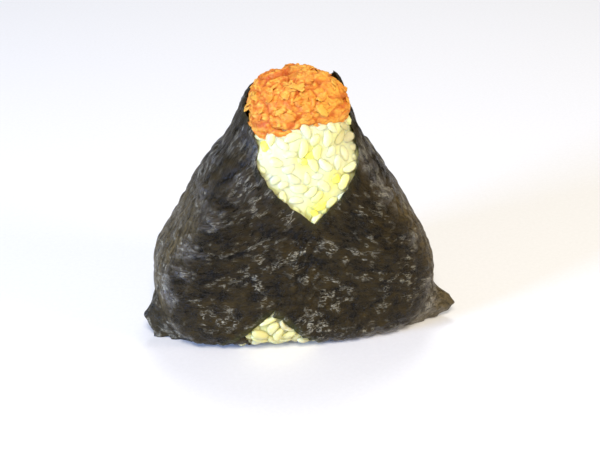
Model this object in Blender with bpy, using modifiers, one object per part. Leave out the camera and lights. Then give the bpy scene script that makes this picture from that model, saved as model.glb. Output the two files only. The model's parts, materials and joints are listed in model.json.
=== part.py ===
"""Onigiri: a pressed rice ball standing in its sheet of nori, with flaked topping on the crown.

Three solids share one skin, a rounded triangle with softened edges. The nori lies in the skin,
the rice fills it to just under the nori, and the topping is a pad on the rice's crown.
"""

import math

import bmesh
import bpy
import numpy as np
from mathutils import Vector, noise

MM = 0.001

# The skin: a rounded triangle seen from the front, drawn through the depth.
HALF_WIDTH = 43.2 * MM
CORNER_RADIUS = 19.0 * MM
FLANK_ANGLE = math.radians(59.7)
HALF_DEPTH = 22.3 * MM
DEPTH_HEIGHT = 12.0 * MM
FACE_LEAN = math.radians(5.5)
EDGE_RADIUS = 13.4 * MM
CROWN_HEIGHTS = (57.0 * MM, 68.0 * MM)
CROWN_PINCH = 0.1
CROWN_SHIFT = 2.0 * MM
# The sheet drapes down to the base, so the foot is squarer than a circle, and each face bellies
# out at the middle and falls back towards the base's two corners.
FOOT_POWER = 2.6
FOOT_HEIGHTS = (10.0 * MM, 24.0 * MM)
BELLY = 7.0 * MM
BELLY_HEIGHTS = (14.0 * MM, 42.0 * MM)
HEART = np.array((0.0, 0.0, 30.0)) * MM
LONGEST_RAY = 120.0 * MM
HALVINGS = 30

# The body stands off the origin, so that the corner folds leave the whole centred on it.
PLACE = Vector((-1.35, 0.7, 0.0)) * MM

# Layers, as distances out from the skin.
SHEET_THICKNESS = 0.8 * MM
CLEARANCE = 0.6 * MM
RICE_LEVEL = -(SHEET_THICKNESS + CLEARANCE)
WINDOW_LEVEL = -0.4 * MM

# The sheet's two long edges, station by station from the left flap's end round the back to the
# right flap's end: first the upper edge (x, y, z), then where the lower edge lies under the base.
SHEET_STATIONS = (
    ((13.2, -19.7, 37.2), (-28.6, -7.4, 0.0)),
    ((4.1, -19.3, 42.8), (-28.9, -7.2, 0.0)),
    ((-6.2, -18.4, 51.5), (-29.3, -6.9, 0.0)),
    ((-10.5, -17.7, 57.2), (-29.7, -6.4, 0.0)),
    ((-12.6, -15.3, 63.5), (-30.1, -5.6, 0.0)),
    ((-12.7, -13.3, 68.3), (-30.7, -4.4, 0.0)),
    ((-13.8, -8.6, 71.6), (-31.5, -2.5, 0.0)),
    ((-14.2, -1.5, 73.4), (-32.0, 0.0, 0.0)),
    ((-12.0, 6.5, 76.2), (-30.5, 4.2, 0.0)),
    ((-7.6, 9.8, 77.8), (-24.0, 7.4, 0.0)),
    ((0.6, 10.6, 78.6), (0.0, 8.4, 0.0)),
    ((8.0, 10.2, 77.6), (24.0, 7.4, 0.0)),
    ((12.4, 7.8, 77.4), (30.5, 4.2, 0.0)),
    ((15.3, 3.0, 73.6), (32.0, 0.6, 0.0)),
    ((15.8, -6.5, 70.4), (31.5, -2.2, 0.0)),
    ((16.6, -10.4, 66.6), (30.5, -4.2, 0.0)),
    ((17.4, -12.2, 62.8), (29.2, -5.4, 0.0)),
    ((16.4, -15.1, 59.0), (27.8, -6.2, 0.0)),
    ((14.0, -17.7, 54.4), (26.2, -6.8, 0.0)),
    ((10.6, -18.7, 49.5), (24.0, -7.3, 0.0)),
    ((4.1, -19.3, 42.8), (20.5, -7.7, 0.0)),
    ((-3.0, -20.7, 28.4), (17.5, -7.8, 0.0)),
    ((-8.9, -22.1, 13.9), (14.0, -7.6, 0.0)),
)
UPPER_EDGE = np.array([station[0] for station in SHEET_STATIONS]) * MM
LOWER_EDGE = np.array([station[1] for station in SHEET_STATIONS]) * MM
EDGE_SAMPLES = 40 * len(SHEET_STATIONS)
SHEET_COLUMNS = 70
SHEET_ROWS = 21
# The rows stand closer at the foot, where the sheet turns sharply: shares of the rows, then
# of the way up.
ROW_SHARES = ((0.0, 0.48, 1.0), (0.0, 0.3, 1.0))

# The right flap's end is cut in a bow: how far it stands back from a straight cut.
END_BOW = 2.2 * MM
BOW_RUN = 26.0 * MM
BOW_SQUARENESS = 0.8

# Behind the topping the sheet's upper edge stands free of the skin, as a hood.
HOOD_DEPTHS = (-10.0 * MM, -2.0 * MM)
HOOD_START = 0.82

# The right flap rides over the left one between the seam and the left flap's hidden end.
SEAM_HEAD = UPPER_EDGE[1]
SEAM_FOOT = UPPER_EDGE[-1]
LAP_LEVEL = SHEET_THICKNESS + CLEARANCE
LAP_WIDTHS = (10.5 * MM, 21.0 * MM)
LAP_FOOT_HEIGHTS = (1.0 * MM, 9.0 * MM)
LAP_HEAD_HEIGHTS = (44.0 * MM, 56.0 * MM)

# The openings at the front, as half widths each side of a middle line, by height: the window
# below the topping and the arch at the base. The base's own opening is an oval.
WINDOW_HEIGHTS = np.array((42.8, 51.5, 57.2, 63.5, 68.3, 74.0)) * MM
WINDOW_MIDDLE = np.array((4.1, 3.0, 2.6, 2.4, 1.8, 1.2)) * MM
WINDOW_HALF = np.array((0.0, 9.2, 13.0, 15.0, 14.4, 14.0)) * MM
WINDOW_TOP = 70.0 * MM
ARCH_HEIGHTS = np.array((0.0, 2.0, 13.4)) * MM
ARCH_MIDDLE = np.array((-7.4, -8.2, -9.0)) * MM
ARCH_HALF = np.array((13.8, 11.8, 0.0)) * MM
BASE_OPENING = (27.0 * MM, 7.2 * MM)
WINDOW_BULGE = (1.0 * MM, 3.6 * MM)
BASE_BULGE = (0.2 * MM, 2.8 * MM)

# The topping's rim on the crown, clockwise from the middle of its front edge seen from above.
TOPPING_RIM = (
    (0.0, -14.8, 71.8),
    (-6.0, -14.6, 71.2),
    (-10.4, -12.6, 71.0),
    (-12.0, -9.6, 71.2),
    (-12.7, -3.0, 73.4),
    (-10.6, 3.5, 76.0),
    (-7.0, 6.6, 77.2),
    (0.6, 7.8, 77.8),
    (7.6, 7.2, 77.4),
    (11.6, 4.6, 75.6),
    (13.9, -1.0, 72.8),
    (14.2, -7.2, 70.6),
    (12.0, -11.2, 71.2),
    (6.4, -13.8, 72.2),
)
TOPPING_SEGMENTS = (32, 16)
TOPPING_CENTRE = (0.4, -3.0, 78.0)
TOPPING_BED = RICE_LEVEL + CLEARANCE
TOPPING_THICKNESS = 5.8 * MM
TOPPING_FULLNESS = 3.2
TOPPING_LUMP = 0.9 * MM
TOPPING_LUMP_SIZE = 7.0 * MM
LUMP_CONTRAST = 0.7

# The rice is uneven, below its smooth surface.
RICE_SEGMENTS = (44, 28)
RICE_LUMP = 0.35 * MM
RICE_LUMP_SIZE = 6.0 * MM

# The base's two corners are drawn out and pinched flat. Each pinch is a wedge of folded sheet:
# its root on the skin as places (across, height) with the half width there, and its rim.
RIGHT_ROOT = ((36.5, 1.6), (40.0, 5.5), (40.5, 10.0), (39.5, 14.0))
RIGHT_RIM = ((43.5, 0.8), (48.6, 3.0), (49.6, 7.0), (42.6, 12.6))
LEFT_ROOT = ((-36.5, 1.6), (-40.0, 5.5), (-41.0, 10.5), (-40.5, 14.5))
LEFT_RIM = ((-43.0, 0.8), (-45.6, 4.2), (-46.6, 8.6), (-43.0, 13.4))
# The folds point a little forwards: depth per reach across.
PINCH_LEAN = -0.13
ROOT_HALVES = (4.8 * MM, 3.2 * MM)
RIM_HALF = 0.6 * MM
FOLD_COLUMNS = 5
FOLD_ROWS = 8
FOLD_HOLLOW = 1.6

RICE_COLOUR = (0.86, 0.82, 0.66)
NORI_COLOUR = (0.022, 0.022, 0.013)
TOPPING_COLOUR = (0.83, 0.31, 0.06)


def reset_scene():
    for item in list(bpy.data.objects):
        bpy.data.objects.remove(item, do_unlink=True)


def collection_named(name):
    group = bpy.data.collections.new(name)
    bpy.context.scene.collection.children.link(group)
    return group


def material_named(name, colour, roughness):
    material = bpy.data.materials.new(name)
    material.use_nodes = True
    shader = material.node_tree.nodes["Principled BSDF"]
    shader.inputs["Base Color"].default_value = (*colour, 1.0)
    shader.inputs["Roughness"].default_value = roughness
    shader.inputs["Metallic"].default_value = 0.0
    return material


def object_from(bm, name, group, material):
    bmesh.ops.recalc_face_normals(bm, faces=bm.faces)
    mesh = bpy.data.meshes.new(name)
    bm.to_mesh(mesh)
    bm.free()
    mesh.shade_smooth()
    if material:
        mesh.materials.append(material)
    item = bpy.data.objects.new(name, mesh)
    item.location = PLACE
    group.objects.link(item)
    return item


def smooth_step(value, low, high):
    t = np.clip((value - low) / (high - low), 0.0, 1.0)
    return t * t * (3.0 - 2.0 * t)


def round_sum(a, b, power):
    """Distance from a round corner's centre; powers above 2 make the corner squarer."""
    return (a**power + b**power) ** (1.0 / power)


def triangle_distance(x, z):
    """Distance from the front view's rounded triangle, below zero inside it."""
    middle = HALF_WIDTH - CORNER_RADIUS
    peak = CORNER_RADIUS + middle * math.tan(FLANK_ANGLE)
    corners = np.array(((-middle, CORNER_RADIUS), (middle, CORNER_RADIUS), (0.0, peak)))
    nearest = np.full(np.shape(x), np.inf)
    inside = np.ones(np.shape(x), dtype=bool)
    for start, end in zip(corners, np.roll(corners, -1, axis=0)):
        edge = end - start
        dx = x - start[0]
        dz = z - start[1]
        along = np.clip((dx * edge[0] + dz * edge[1]) / (edge @ edge), 0.0, 1.0)
        off_x = np.abs(dx - edge[0] * along)
        off_z = dz - edge[1] * along
        power = np.where(off_z < 0.0, FOOT_POWER, 2.0)
        nearest = np.minimum(nearest, round_sum(off_x, np.abs(off_z), power))
        inside &= edge[0] * dz - edge[1] * dx > 0.0
    return np.where(inside, -nearest, nearest) - CORNER_RADIUS


def skin_distance(points):
    """Distance out from the skin: the triangle and the two leaning faces, with round edges."""
    z = points[..., 2]
    crown = smooth_step(z, *CROWN_HEIGHTS)
    x = (points[..., 0] - CROWN_SHIFT * crown) * (1.0 + CROWN_PINCH * crown)
    y = points[..., 1] * (1.0 + CROWN_PINCH * crown)
    half_depth = HALF_DEPTH - math.tan(FACE_LEAN) * (z - DEPTH_HEIGHT)
    low = 1.0 - smooth_step(z, *BELLY_HEIGHTS)
    half_depth = half_depth - BELLY * low * (x / HALF_WIDTH) ** 2
    power = 2.0 + (FOOT_POWER - 2.0) * (1.0 - smooth_step(z, *FOOT_HEIGHTS))
    a = triangle_distance(x, z) + EDGE_RADIUS
    b = np.abs(y) - half_depth + EDGE_RADIUS
    corner = round_sum(np.maximum(a, 0.0), np.maximum(b, 0.0), power)
    return corner + np.minimum(np.maximum(a, b), 0.0) - EDGE_RADIUS


def on_skin(directions, level):
    """The points at a level from the skin, along rays from the body's heart."""
    unit = directions / np.linalg.norm(directions, axis=-1, keepdims=True)
    near = np.zeros(unit.shape[:-1])
    far = np.full(unit.shape[:-1], LONGEST_RAY)
    for _ in range(HALVINGS):
        reach = (near + far) / 2.0
        inside = skin_distance(HEART + unit * reach[..., None]) < level
        near = np.where(inside, reach, near)
        far = np.where(inside, far, reach)
    return HEART + unit * near[..., None]


def smooth_path(points, places, closed=False):
    """Points along a smooth curve through the given ones; places count in points."""
    count = len(points)
    base = np.floor(places).astype(int)
    t = (places - base)[:, None]

    def take(offset):
        index = base + offset
        index = index % count if closed else np.clip(index, 0, count - 1)
        return points[index]

    before, start, end, after = take(-1), take(0), take(1), take(2)
    return 0.5 * (
        2.0 * start
        + (end - before) * t
        + (2.0 * before - 5.0 * start + 4.0 * end - after) * t**2
        + (3.0 * start - before - 3.0 * end + after) * t**3
    )


def arc_between(lower, upper, t):
    """Directions a share t of the way along the arc from the lower to the upper direction."""
    a = lower / np.linalg.norm(lower, axis=-1, keepdims=True)
    b = upper / np.linalg.norm(upper, axis=-1, keepdims=True)
    angle = np.arccos(np.clip((a * b).sum(axis=-1), -1.0, 1.0))[..., None]
    return (np.sin((1.0 - t) * angle) * a + np.sin(t * angle) * b) / np.sin(angle)


def sheet_plan():
    """Evenly spaced runs along the sheet, with the dense lists that edges are read from."""
    dense = np.linspace(0.0, len(SHEET_STATIONS) - 1.0, EDGE_SAMPLES)
    tops = smooth_path(UPPER_EDGE, dense)
    feet = smooth_path(LOWER_EDGE, dense)
    middle = on_skin(arc_between(feet - HEART, tops - HEART, 0.5), 0.0)
    steps = np.linalg.norm(np.diff(middle, axis=0), axis=1)
    lengths = np.concatenate(((0.0,), np.cumsum(steps)))
    return np.linspace(0.0, lengths[-1], SHEET_COLUMNS + 1), lengths, dense


def edges_at(run, lengths, dense):
    """The sheet's upper and lower edge at a run along it, and the stations passed."""
    places = np.interp(run, lengths, dense)
    return smooth_path(UPPER_EDGE, places), smooth_path(LOWER_EDGE, places), places


def bowed(run, t):
    """Runs along the sheet, drawn back from its right end where this is cut in a bow."""
    curve = math.sin(math.pi * min(max(t, 0.0), 1.0)) ** BOW_SQUARENESS
    return run - END_BOW * curve * np.clip(1.0 - (run[-1] - run) / BOW_RUN, 0.0, 1.0)


def lap_raise(points, places):
    """How far the right flap is raised over the left one."""
    x, z = points[..., 0], points[..., 2]
    seam_x = np.interp(z, (SEAM_FOOT[2], SEAM_HEAD[2]), (SEAM_FOOT[0], SEAM_HEAD[0]))
    near_seam = 1.0 - smooth_step(x - seam_x, *LAP_WIDTHS)
    off_base = smooth_step(z, *LAP_FOOT_HEIGHTS)
    below_window = 1.0 - smooth_step(z, *LAP_HEAD_HEIGHTS)
    on_right = places > len(SHEET_STATIONS) / 2.0
    on_front = points[..., 1] < 0.0
    return LAP_LEVEL * near_seam * off_base * below_window * on_right * on_front


def sheet_surface():
    """Rows of points on the sheet's outer face, from the lower edge to the upper."""
    run, lengths, dense = sheet_plan()
    rows = []
    for row in range(SHEET_ROWS + 1):
        t = float(np.interp(row / SHEET_ROWS, *ROW_SHARES))
        upper, lower, places = edges_at(bowed(run, t), lengths, dense)
        free = np.maximum(skin_distance(upper), 0.0) * smooth_step(upper[:, 1], *HOOD_DEPTHS)
        directions = arc_between(lower - HEART, upper - HEART, t)
        flat = on_skin(directions, 0.0)
        level = lap_raise(flat, places) + free * smooth_step(t, HOOD_START, 1.0)
        rows.append(on_skin(directions, level))
    return np.array(rows)


def fold_side(root, rim, side):
    """One side of a corner's wedge, from its root inside the sheet's thickness to its rim."""
    upright = np.linspace(0.0, 1.0, FOLD_ROWS + 1)
    reach = np.linspace(0.0, 1.0, FOLD_COLUMNS + 1)[None, :, None]
    ends = []
    for outline, half in ((root, np.interp(upright, (0.0, 1.0), ROOT_HALVES)), (rim, RIM_HALF)):
        path = smooth_path(np.array(outline) * MM, upright * (len(outline) - 1.0))
        depth = PINCH_LEAN * np.abs(path[:, 0]) + side * half
        ends.append(np.stack((path[:, 0], depth, path[:, 1]), axis=-1))
    ends[0] = on_skin(ends[0] - HEART, -SHEET_THICKNESS / 2.0)
    start, end = ends[0][:, None], ends[1][:, None]
    across = np.concatenate((reach, reach ** (1.0 / FOLD_HOLLOW), reach), axis=-1)
    return start + (end - start) * across


def make_fold(name, root, rim, cutters):
    """A corner of the sheet, drawn out and pinched flat between finger and thumb."""
    sides = [fold_side(root, rim, side) for side in (-1.0, 1.0)]
    bm = bmesh.new()
    grids = [[[bm.verts.new(point) for point in row] for row in side] for side in sides]
    front, back = grids
    for row in range(FOLD_ROWS):
        for column in range(FOLD_COLUMNS):
            for grid in grids:
                bm.faces.new((
                    grid[row][column], grid[row][column + 1],
                    grid[row + 1][column + 1], grid[row + 1][column]))
    for row in range(FOLD_ROWS):
        for column in (0, FOLD_COLUMNS):
            bm.faces.new((
                front[row][column], front[row + 1][column],
                back[row + 1][column], back[row][column]))
    for column in range(FOLD_COLUMNS):
        for row in (0, FOLD_ROWS):
            bm.faces.new((
                front[row][column], front[row][column + 1],
                back[row][column + 1], back[row][column]))
    fold = object_from(bm, name, cutters, None)
    fold.hide_render = True
    fold.display_type = "WIRE"
    return fold


def make_nori(group, cutters, material):
    surface = sheet_surface()
    bm = bmesh.new()
    bmesh.ops.create_grid(bm, x_segments=SHEET_COLUMNS, y_segments=SHEET_ROWS, size=1.0)
    for vert in bm.verts:
        column = round((vert.co.x + 1.0) / 2.0 * SHEET_COLUMNS)
        row = round((vert.co.y + 1.0) / 2.0 * SHEET_ROWS)
        vert.co = Vector(surface[row, column])
    bmesh.ops.reverse_faces(bm, faces=bm.faces)
    nori = object_from(bm, "nori_wrap", group, material)
    shell = nori.modifiers.new("Sheet thickness", "SOLIDIFY")
    shell.thickness = SHEET_THICKNESS
    shell.offset = -1.0
    folds = (("right_fold", RIGHT_ROOT, RIGHT_RIM), ("left_fold", LEFT_ROOT, LEFT_RIM))
    for name, root, rim in folds:
        join = nori.modifiers.new(name, "BOOLEAN")
        join.operation = "UNION"
        join.solver = "EXACT"
        join.object = make_fold(name, root, rim, cutters)


def lumps(points, size):
    """Uneven swelling from 0 to 1, in lumps of about the given size."""
    flat = points.reshape(-1, 3)
    values = [noise.noise(Vector(point) / size) for point in flat]
    return np.clip(0.5 + LUMP_CONTRAST * np.array(values), 0.0, 1.0).reshape(points.shape[:-1])


def opening(across, height, heights, middle, half):
    """Distance in from an opening's edge, level with the point; below zero outside it."""
    inside = np.interp(height, heights, half) - np.abs(across - np.interp(height, heights, middle))
    beyond = np.maximum(heights[0] - height, height - heights[-1])
    return np.minimum(inside, -beyond)


def rice_levels(skin):
    """The rice lies under the sheet, and swells to near the skin where the sheet is open."""
    x, y, z = skin[..., 0], skin[..., 1], skin[..., 2]
    window = opening(x, z, WINDOW_HEIGHTS, WINDOW_MIDDLE, WINDOW_HALF)
    window = np.minimum(window, WINDOW_TOP - z)
    arch = opening(x, z, ARCH_HEIGHTS, ARCH_MIDDLE, ARCH_HALF)
    front = np.where(y < 0.0, np.maximum(window, arch), -1.0)
    front_share = smooth_step(front, *WINDOW_BULGE)
    across = np.hypot(x / BASE_OPENING[0], y / BASE_OPENING[1])
    under = np.where(z < CORNER_RADIUS, (1.0 - across) * BASE_OPENING[1], -1.0)
    base_share = smooth_step(under, *BASE_BULGE)
    level = RICE_LEVEL + front_share * (WINDOW_LEVEL - RICE_LEVEL)
    level -= RICE_LUMP * lumps(skin, RICE_LUMP_SIZE)
    return level * (1.0 - base_share)


def make_rice(group, material):
    bm = bmesh.new()
    around, upright = RICE_SEGMENTS
    bmesh.ops.create_uvsphere(bm, u_segments=around, v_segments=upright, radius=1.0)
    directions = np.array([vert.co for vert in bm.verts], dtype=float)
    surface = on_skin(directions, rice_levels(on_skin(directions, 0.0)))
    for vert, point in zip(bm.verts, surface):
        vert.co = Vector(point)
    return object_from(bm, "rice_ball", group, material)


def make_topping(group, material):
    """A pad over the crown: its underside follows the rice, its top is a lumpy mound."""
    bm = bmesh.new()
    around, upright = TOPPING_SEGMENTS
    bmesh.ops.create_uvsphere(bm, u_segments=around, v_segments=upright, radius=1.0)
    unit = np.array([vert.co for vert in bm.verts], dtype=float)
    reach = np.hypot(unit[:, 0], unit[:, 1])
    turn = np.arctan2(-unit[:, 0], -unit[:, 1]) / (2.0 * math.pi) % 1.0
    rim = smooth_path(np.array(TOPPING_RIM) * MM, turn * len(TOPPING_RIM), closed=True)
    centre = np.array(TOPPING_CENTRE) * MM
    directions = centre + (rim - centre) * reach[:, None] - HEART
    height = np.sqrt(np.maximum(1.0 - reach**TOPPING_FULLNESS, 0.0))
    bumps = 2.0 * lumps(on_skin(directions, 0.0), TOPPING_LUMP_SIZE) - 1.0
    swell = TOPPING_THICKNESS + TOPPING_LUMP * bumps
    level = TOPPING_BED + np.where(unit[:, 2] > 0.0, height * swell, 0.0)
    for vert, point in zip(bm.verts, on_skin(directions, level)):
        vert.co = Vector(point)
    return object_from(bm, "topping", group, material)


def main():
    reset_scene()
    group = collection_named("onigiri")
    cutters = collection_named("onigiri_folds")
    make_rice(group, material_named("steamed_rice", RICE_COLOUR, 0.45))
    make_nori(group, cutters, material_named("roasted_nori", NORI_COLOUR, 0.4))
    make_topping(group, material_named("flaked_topping", TOPPING_COLOUR, 0.55))


main()
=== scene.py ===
"""Onigiri maker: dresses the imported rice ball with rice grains, a nori sheet and a flaked topping."""

import json
import math

import bmesh
import bpy
import numpy as np
from bpy.props import FloatProperty, FloatVectorProperty, IntProperty, PointerProperty
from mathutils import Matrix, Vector, noise


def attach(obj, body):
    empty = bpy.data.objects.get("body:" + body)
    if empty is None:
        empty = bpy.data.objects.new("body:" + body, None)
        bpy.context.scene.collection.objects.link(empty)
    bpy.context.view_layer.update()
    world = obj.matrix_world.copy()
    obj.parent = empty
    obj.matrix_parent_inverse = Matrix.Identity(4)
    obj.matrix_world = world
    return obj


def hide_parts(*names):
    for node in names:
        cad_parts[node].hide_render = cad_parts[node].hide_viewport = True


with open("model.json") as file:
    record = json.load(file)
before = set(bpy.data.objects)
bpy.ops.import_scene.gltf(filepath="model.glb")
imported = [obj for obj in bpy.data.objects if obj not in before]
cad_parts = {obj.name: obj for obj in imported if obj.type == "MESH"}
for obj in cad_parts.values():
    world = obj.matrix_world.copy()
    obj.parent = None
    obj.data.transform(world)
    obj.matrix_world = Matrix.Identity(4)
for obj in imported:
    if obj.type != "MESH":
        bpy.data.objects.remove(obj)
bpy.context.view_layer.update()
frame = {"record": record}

bl_info = {
    "name": "Onigiri Maker",
    "version": (1, 0, 0),
    "blender": (4, 5, 0),
    "location": "3D View > Sidebar > Onigiri",
    "description": "Makes an onigiri with rice grains, a nori sheet and a flaked topping",
    "category": "Add Mesh",
}

MM = 0.001
BODY = "root"
PLACE = np.array(frame["record"]["mounts"][0]["pos_m"])

# The skin that every piece follows: a rounded triangle seen from the front, with round edges.
HALF_WIDTH = 43.2 * MM
CORNER_RADIUS = 19.0 * MM
FLANK_ANGLE = math.radians(59.7)
HALF_DEPTH = 22.3 * MM
DEPTH_HEIGHT = 12.0 * MM
FACE_LEAN = math.radians(5.5)
EDGE_RADIUS = 13.4 * MM
CROWN_HEIGHTS = (57.0 * MM, 68.0 * MM)
CROWN_PINCH = 0.1
CROWN_SHIFT = 2.0 * MM
FOOT_POWER = 2.6
FOOT_HEIGHTS = (10.0 * MM, 24.0 * MM)
BELLY = 7.0 * MM
BELLY_HEIGHTS = (14.0 * MM, 42.0 * MM)
HEART = np.array((0.0, 0.0, 30.0)) * MM
LONGEST_RAY = 120.0 * MM
HALVINGS = 26
LOOP_POINTS = 400
FLOOR_GAP = 0.02 * MM
CHUNK = 4000

# The sheet's long edges, from the left flap's end round the back to the right flap's end: the
# upper edge, and where the lower edge lies under the base.
SHEET_STATIONS = (
    ((13.2, -19.7, 37.2), (-28.6, -7.4, 0.0)),
    ((4.1, -19.3, 42.8), (-28.9, -7.2, 0.0)),
    ((-6.2, -18.4, 51.5), (-29.3, -6.9, 0.0)),
    ((-10.5, -17.7, 57.2), (-29.7, -6.4, 0.0)),
    ((-12.6, -15.3, 63.5), (-30.1, -5.6, 0.0)),
    ((-12.7, -13.3, 68.3), (-30.7, -4.4, 0.0)),
    ((-13.8, -8.6, 71.6), (-31.5, -2.5, 0.0)),
    ((-14.2, -1.5, 73.4), (-32.0, 0.0, 0.0)),
    ((-12.0, 6.5, 76.2), (-30.5, 4.2, 0.0)),
    ((-7.6, 9.8, 77.8), (-24.0, 7.4, 0.0)),
    ((0.6, 10.6, 78.6), (0.0, 8.4, 0.0)),
    ((8.0, 10.2, 77.6), (24.0, 7.4, 0.0)),
    ((12.4, 7.8, 77.4), (30.5, 4.2, 0.0)),
    ((15.3, 3.0, 73.6), (32.0, 0.6, 0.0)),
    ((15.8, -6.5, 70.4), (31.5, -2.2, 0.0)),
    ((16.6, -10.4, 66.6), (30.5, -4.2, 0.0)),
    ((17.4, -12.2, 62.8), (29.2, -5.4, 0.0)),
    ((16.4, -15.1, 59.0), (27.8, -6.2, 0.0)),
    ((14.0, -17.7, 54.4), (26.2, -6.8, 0.0)),
    ((10.6, -18.7, 49.5), (24.0, -7.3, 0.0)),
    ((4.1, -19.3, 42.8), (20.5, -7.7, 0.0)),
    ((-3.0, -20.7, 28.4), (17.5, -7.8, 0.0)),
    ((-8.9, -22.1, 13.9), (14.0, -7.6, 0.0)),
)
SEAM_HEAD = np.array(SHEET_STATIONS[1][0]) * MM
SEAM_FOOT = np.array(SHEET_STATIONS[-1][0]) * MM
# The right flap's end is cut in a bow: how far it stands back from a straight cut.
END_BOW = 2.2 * MM
BOW_RUN = 26.0 * MM
HOOD_DEPTHS = (-10.0 * MM, -2.0 * MM)
HOOD_START = 0.82
LAP_WIDTHS = (9.5 * MM, 16.0 * MM)
LAP_FOOT_HEIGHTS = (1.0 * MM, 9.0 * MM)
LAP_HEAD_HEIGHTS = (44.0 * MM, 52.0 * MM)

TOPPING_RIM = (
    (0.0, -15.2, 72.0),
    (-6.0, -15.2, 71.8),
    (-10.8, -13.4, 71.8),
    (-13.8, -9.6, 72.0),
    (-14.6, -2.6, 74.4),
    (-12.8, 4.4, 76.8),
    (-7.8, 8.0, 77.4),
    (0.6, 8.8, 77.8),
    (6.8, 7.2, 77.8),
    (10.6, 4.4, 76.4),
    (13.8, -1.0, 73.0),
    (14.8, -7.4, 70.6),
    (12.6, -11.8, 71.0),
    (6.4, -14.2, 72.2),
)
TOPPING_CENTRE = (0.4, -3.0, 78.0)


def hex_linear(text):
    """An sRGB hex colour as linear red, green and blue."""
    parts = [int(text[i:i + 2], 16) / 255.0 for i in (1, 3, 5)]
    return tuple(v / 12.92 if v <= 0.04045 else ((v + 0.055) / 1.055) ** 2.4 for v in parts)


# ---------------------------------------------------------------- sizes and colours


class OnigiriSizes(bpy.types.PropertyGroup):
    sheet_thickness: FloatProperty(
        name="Nori thickness", description="Thickness of the roasted seaweed sheet",
        default=0.25 * MM, unit="LENGTH")
    sheet_bumps: FloatProperty(
        name="Nori bumps", description="How far the rice shows through the sheet",
        default=0.6 * MM, unit="LENGTH")
    grain_length: FloatProperty(
        name="Grain length", description="Length of a cooked short rice grain",
        default=5.3 * MM, unit="LENGTH")
    grain_width: FloatProperty(
        name="Grain width", description="Width of a cooked short rice grain",
        default=2.9 * MM, unit="LENGTH")
    rice_depth: FloatProperty(
        name="Grain layer", description="Depth of loose grains where the sheet is open",
        default=4.6 * MM, unit="LENGTH")
    topping_height: FloatProperty(
        name="Topping height", description="Height of the flaked topping on the crown",
        default=4.9 * MM, unit="LENGTH")
    flake_count: IntProperty(
        name="Flakes", description="Number of flakes lying on the topping",
        default=70, min=0)


class OnigiriColours(bpy.types.PropertyGroup):
    rice: FloatVectorProperty(
        name="Rice", description="Cooked white rice", subtype="COLOR", size=3,
        default=hex_linear("#e9e8ae"))
    # Clear, wet rice; also the colour of painted shade at the base and at the window's upper corners.
    rice_clear: FloatVectorProperty(
        name="Clear rice", description="Rice grains that are wetter and less milky",
        subtype="COLOR", size=3, default=hex_linear("#bdb28a"))
    rice_tint: FloatVectorProperty(
        name="Tinted rice", description="Rice stained by the yellow bits", subtype="COLOR",
        size=3, default=hex_linear("#e9e37a"))
    nori: FloatVectorProperty(
        name="Nori", description="Roasted seaweed", subtype="COLOR", size=3,
        default=hex_linear("#120e06"))
    nori_brown: FloatVectorProperty(
        name="Brown nori", description="Browner blotches of the seaweed", subtype="COLOR",
        size=3, default=hex_linear("#392d10"))
    # Painted warm reflection: brown laid into the streaks of the lower flanks and the right pinched
    # corner.
    nori_flank: FloatVectorProperty(
        name="Flank nori", description="Seaweed stretched down the flanks", subtype="COLOR",
        size=3, default=hex_linear("#5f5133"))
    nori_thin: FloatVectorProperty(
        name="Thin nori", description="Seaweed where one thin layer meets the rice",
        subtype="COLOR", size=3, default=hex_linear("#4a4a24"))
    # Pale dried fibres of the seaweed, laid bright enough to be painted glints as well.
    nori_fleck: FloatVectorProperty(
        name="Nori flecks", description="Paler dried flecks of the seaweed", subtype="COLOR",
        size=3, default=hex_linear("#cfc9b0"))
    topping: FloatVectorProperty(
        name="Topping", description="Flaked topping", subtype="COLOR", size=3,
        default=hex_linear("#d37416"))
    topping_light: FloatVectorProperty(
        name="Light flakes", description="Pale fibres of the topping", subtype="COLOR",
        size=3, default=hex_linear("#efb242"))
    # Painted shade: a deeper orange laid into the topping's creases and under its flakes.
    topping_deep: FloatVectorProperty(
        name="Topping creases", description="Deep creases of the topping", subtype="COLOR",
        size=3, default=hex_linear("#b9490c"))
    yellow_bits: FloatVectorProperty(
        name="Yellow bits", description="Chopped yellow bits in the rice", subtype="COLOR",
        size=3, default=hex_linear("#e8d93a"))
    floor: FloatVectorProperty(
        name="Floor", description="Pale floor", subtype="COLOR", size=3,
        default=hex_linear("#f1efea"))
    floor_fleck: FloatVectorProperty(
        name="Floor fleck", description="Slightly darker tooth of the floor", subtype="COLOR",
        size=3, default=hex_linear("#e9e7e1"))


# ---------------------------------------------------------------- the shared skin


def smooth_step(value, low, high):
    t = np.clip((value - low) / (high - low), 0.0, 1.0)
    return t * t * (3.0 - 2.0 * t)


def round_sum(a, b, power):
    """Distance from a round corner's centre; powers above 2 make the corner squarer."""
    return (a**power + b**power) ** (1.0 / power)


def triangle_distance(x, z):
    """Distance from the front view's rounded triangle, below zero inside it."""
    middle = HALF_WIDTH - CORNER_RADIUS
    peak = CORNER_RADIUS + middle * math.tan(FLANK_ANGLE)
    corners = np.array(((-middle, CORNER_RADIUS), (middle, CORNER_RADIUS), (0.0, peak)))
    nearest = np.full(np.shape(x), np.inf)
    inside = np.ones(np.shape(x), dtype=bool)
    for start, end in zip(corners, np.roll(corners, -1, axis=0)):
        edge = end - start
        dx = x - start[0]
        dz = z - start[1]
        along = np.clip((dx * edge[0] + dz * edge[1]) / (edge @ edge), 0.0, 1.0)
        off_x = np.abs(dx - edge[0] * along)
        off_z = dz - edge[1] * along
        power = np.where(off_z < 0.0, FOOT_POWER, 2.0)
        nearest = np.minimum(nearest, round_sum(off_x, np.abs(off_z), power))
        inside &= edge[0] * dz - edge[1] * dx > 0.0
    return np.where(inside, -nearest, nearest) - CORNER_RADIUS


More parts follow.
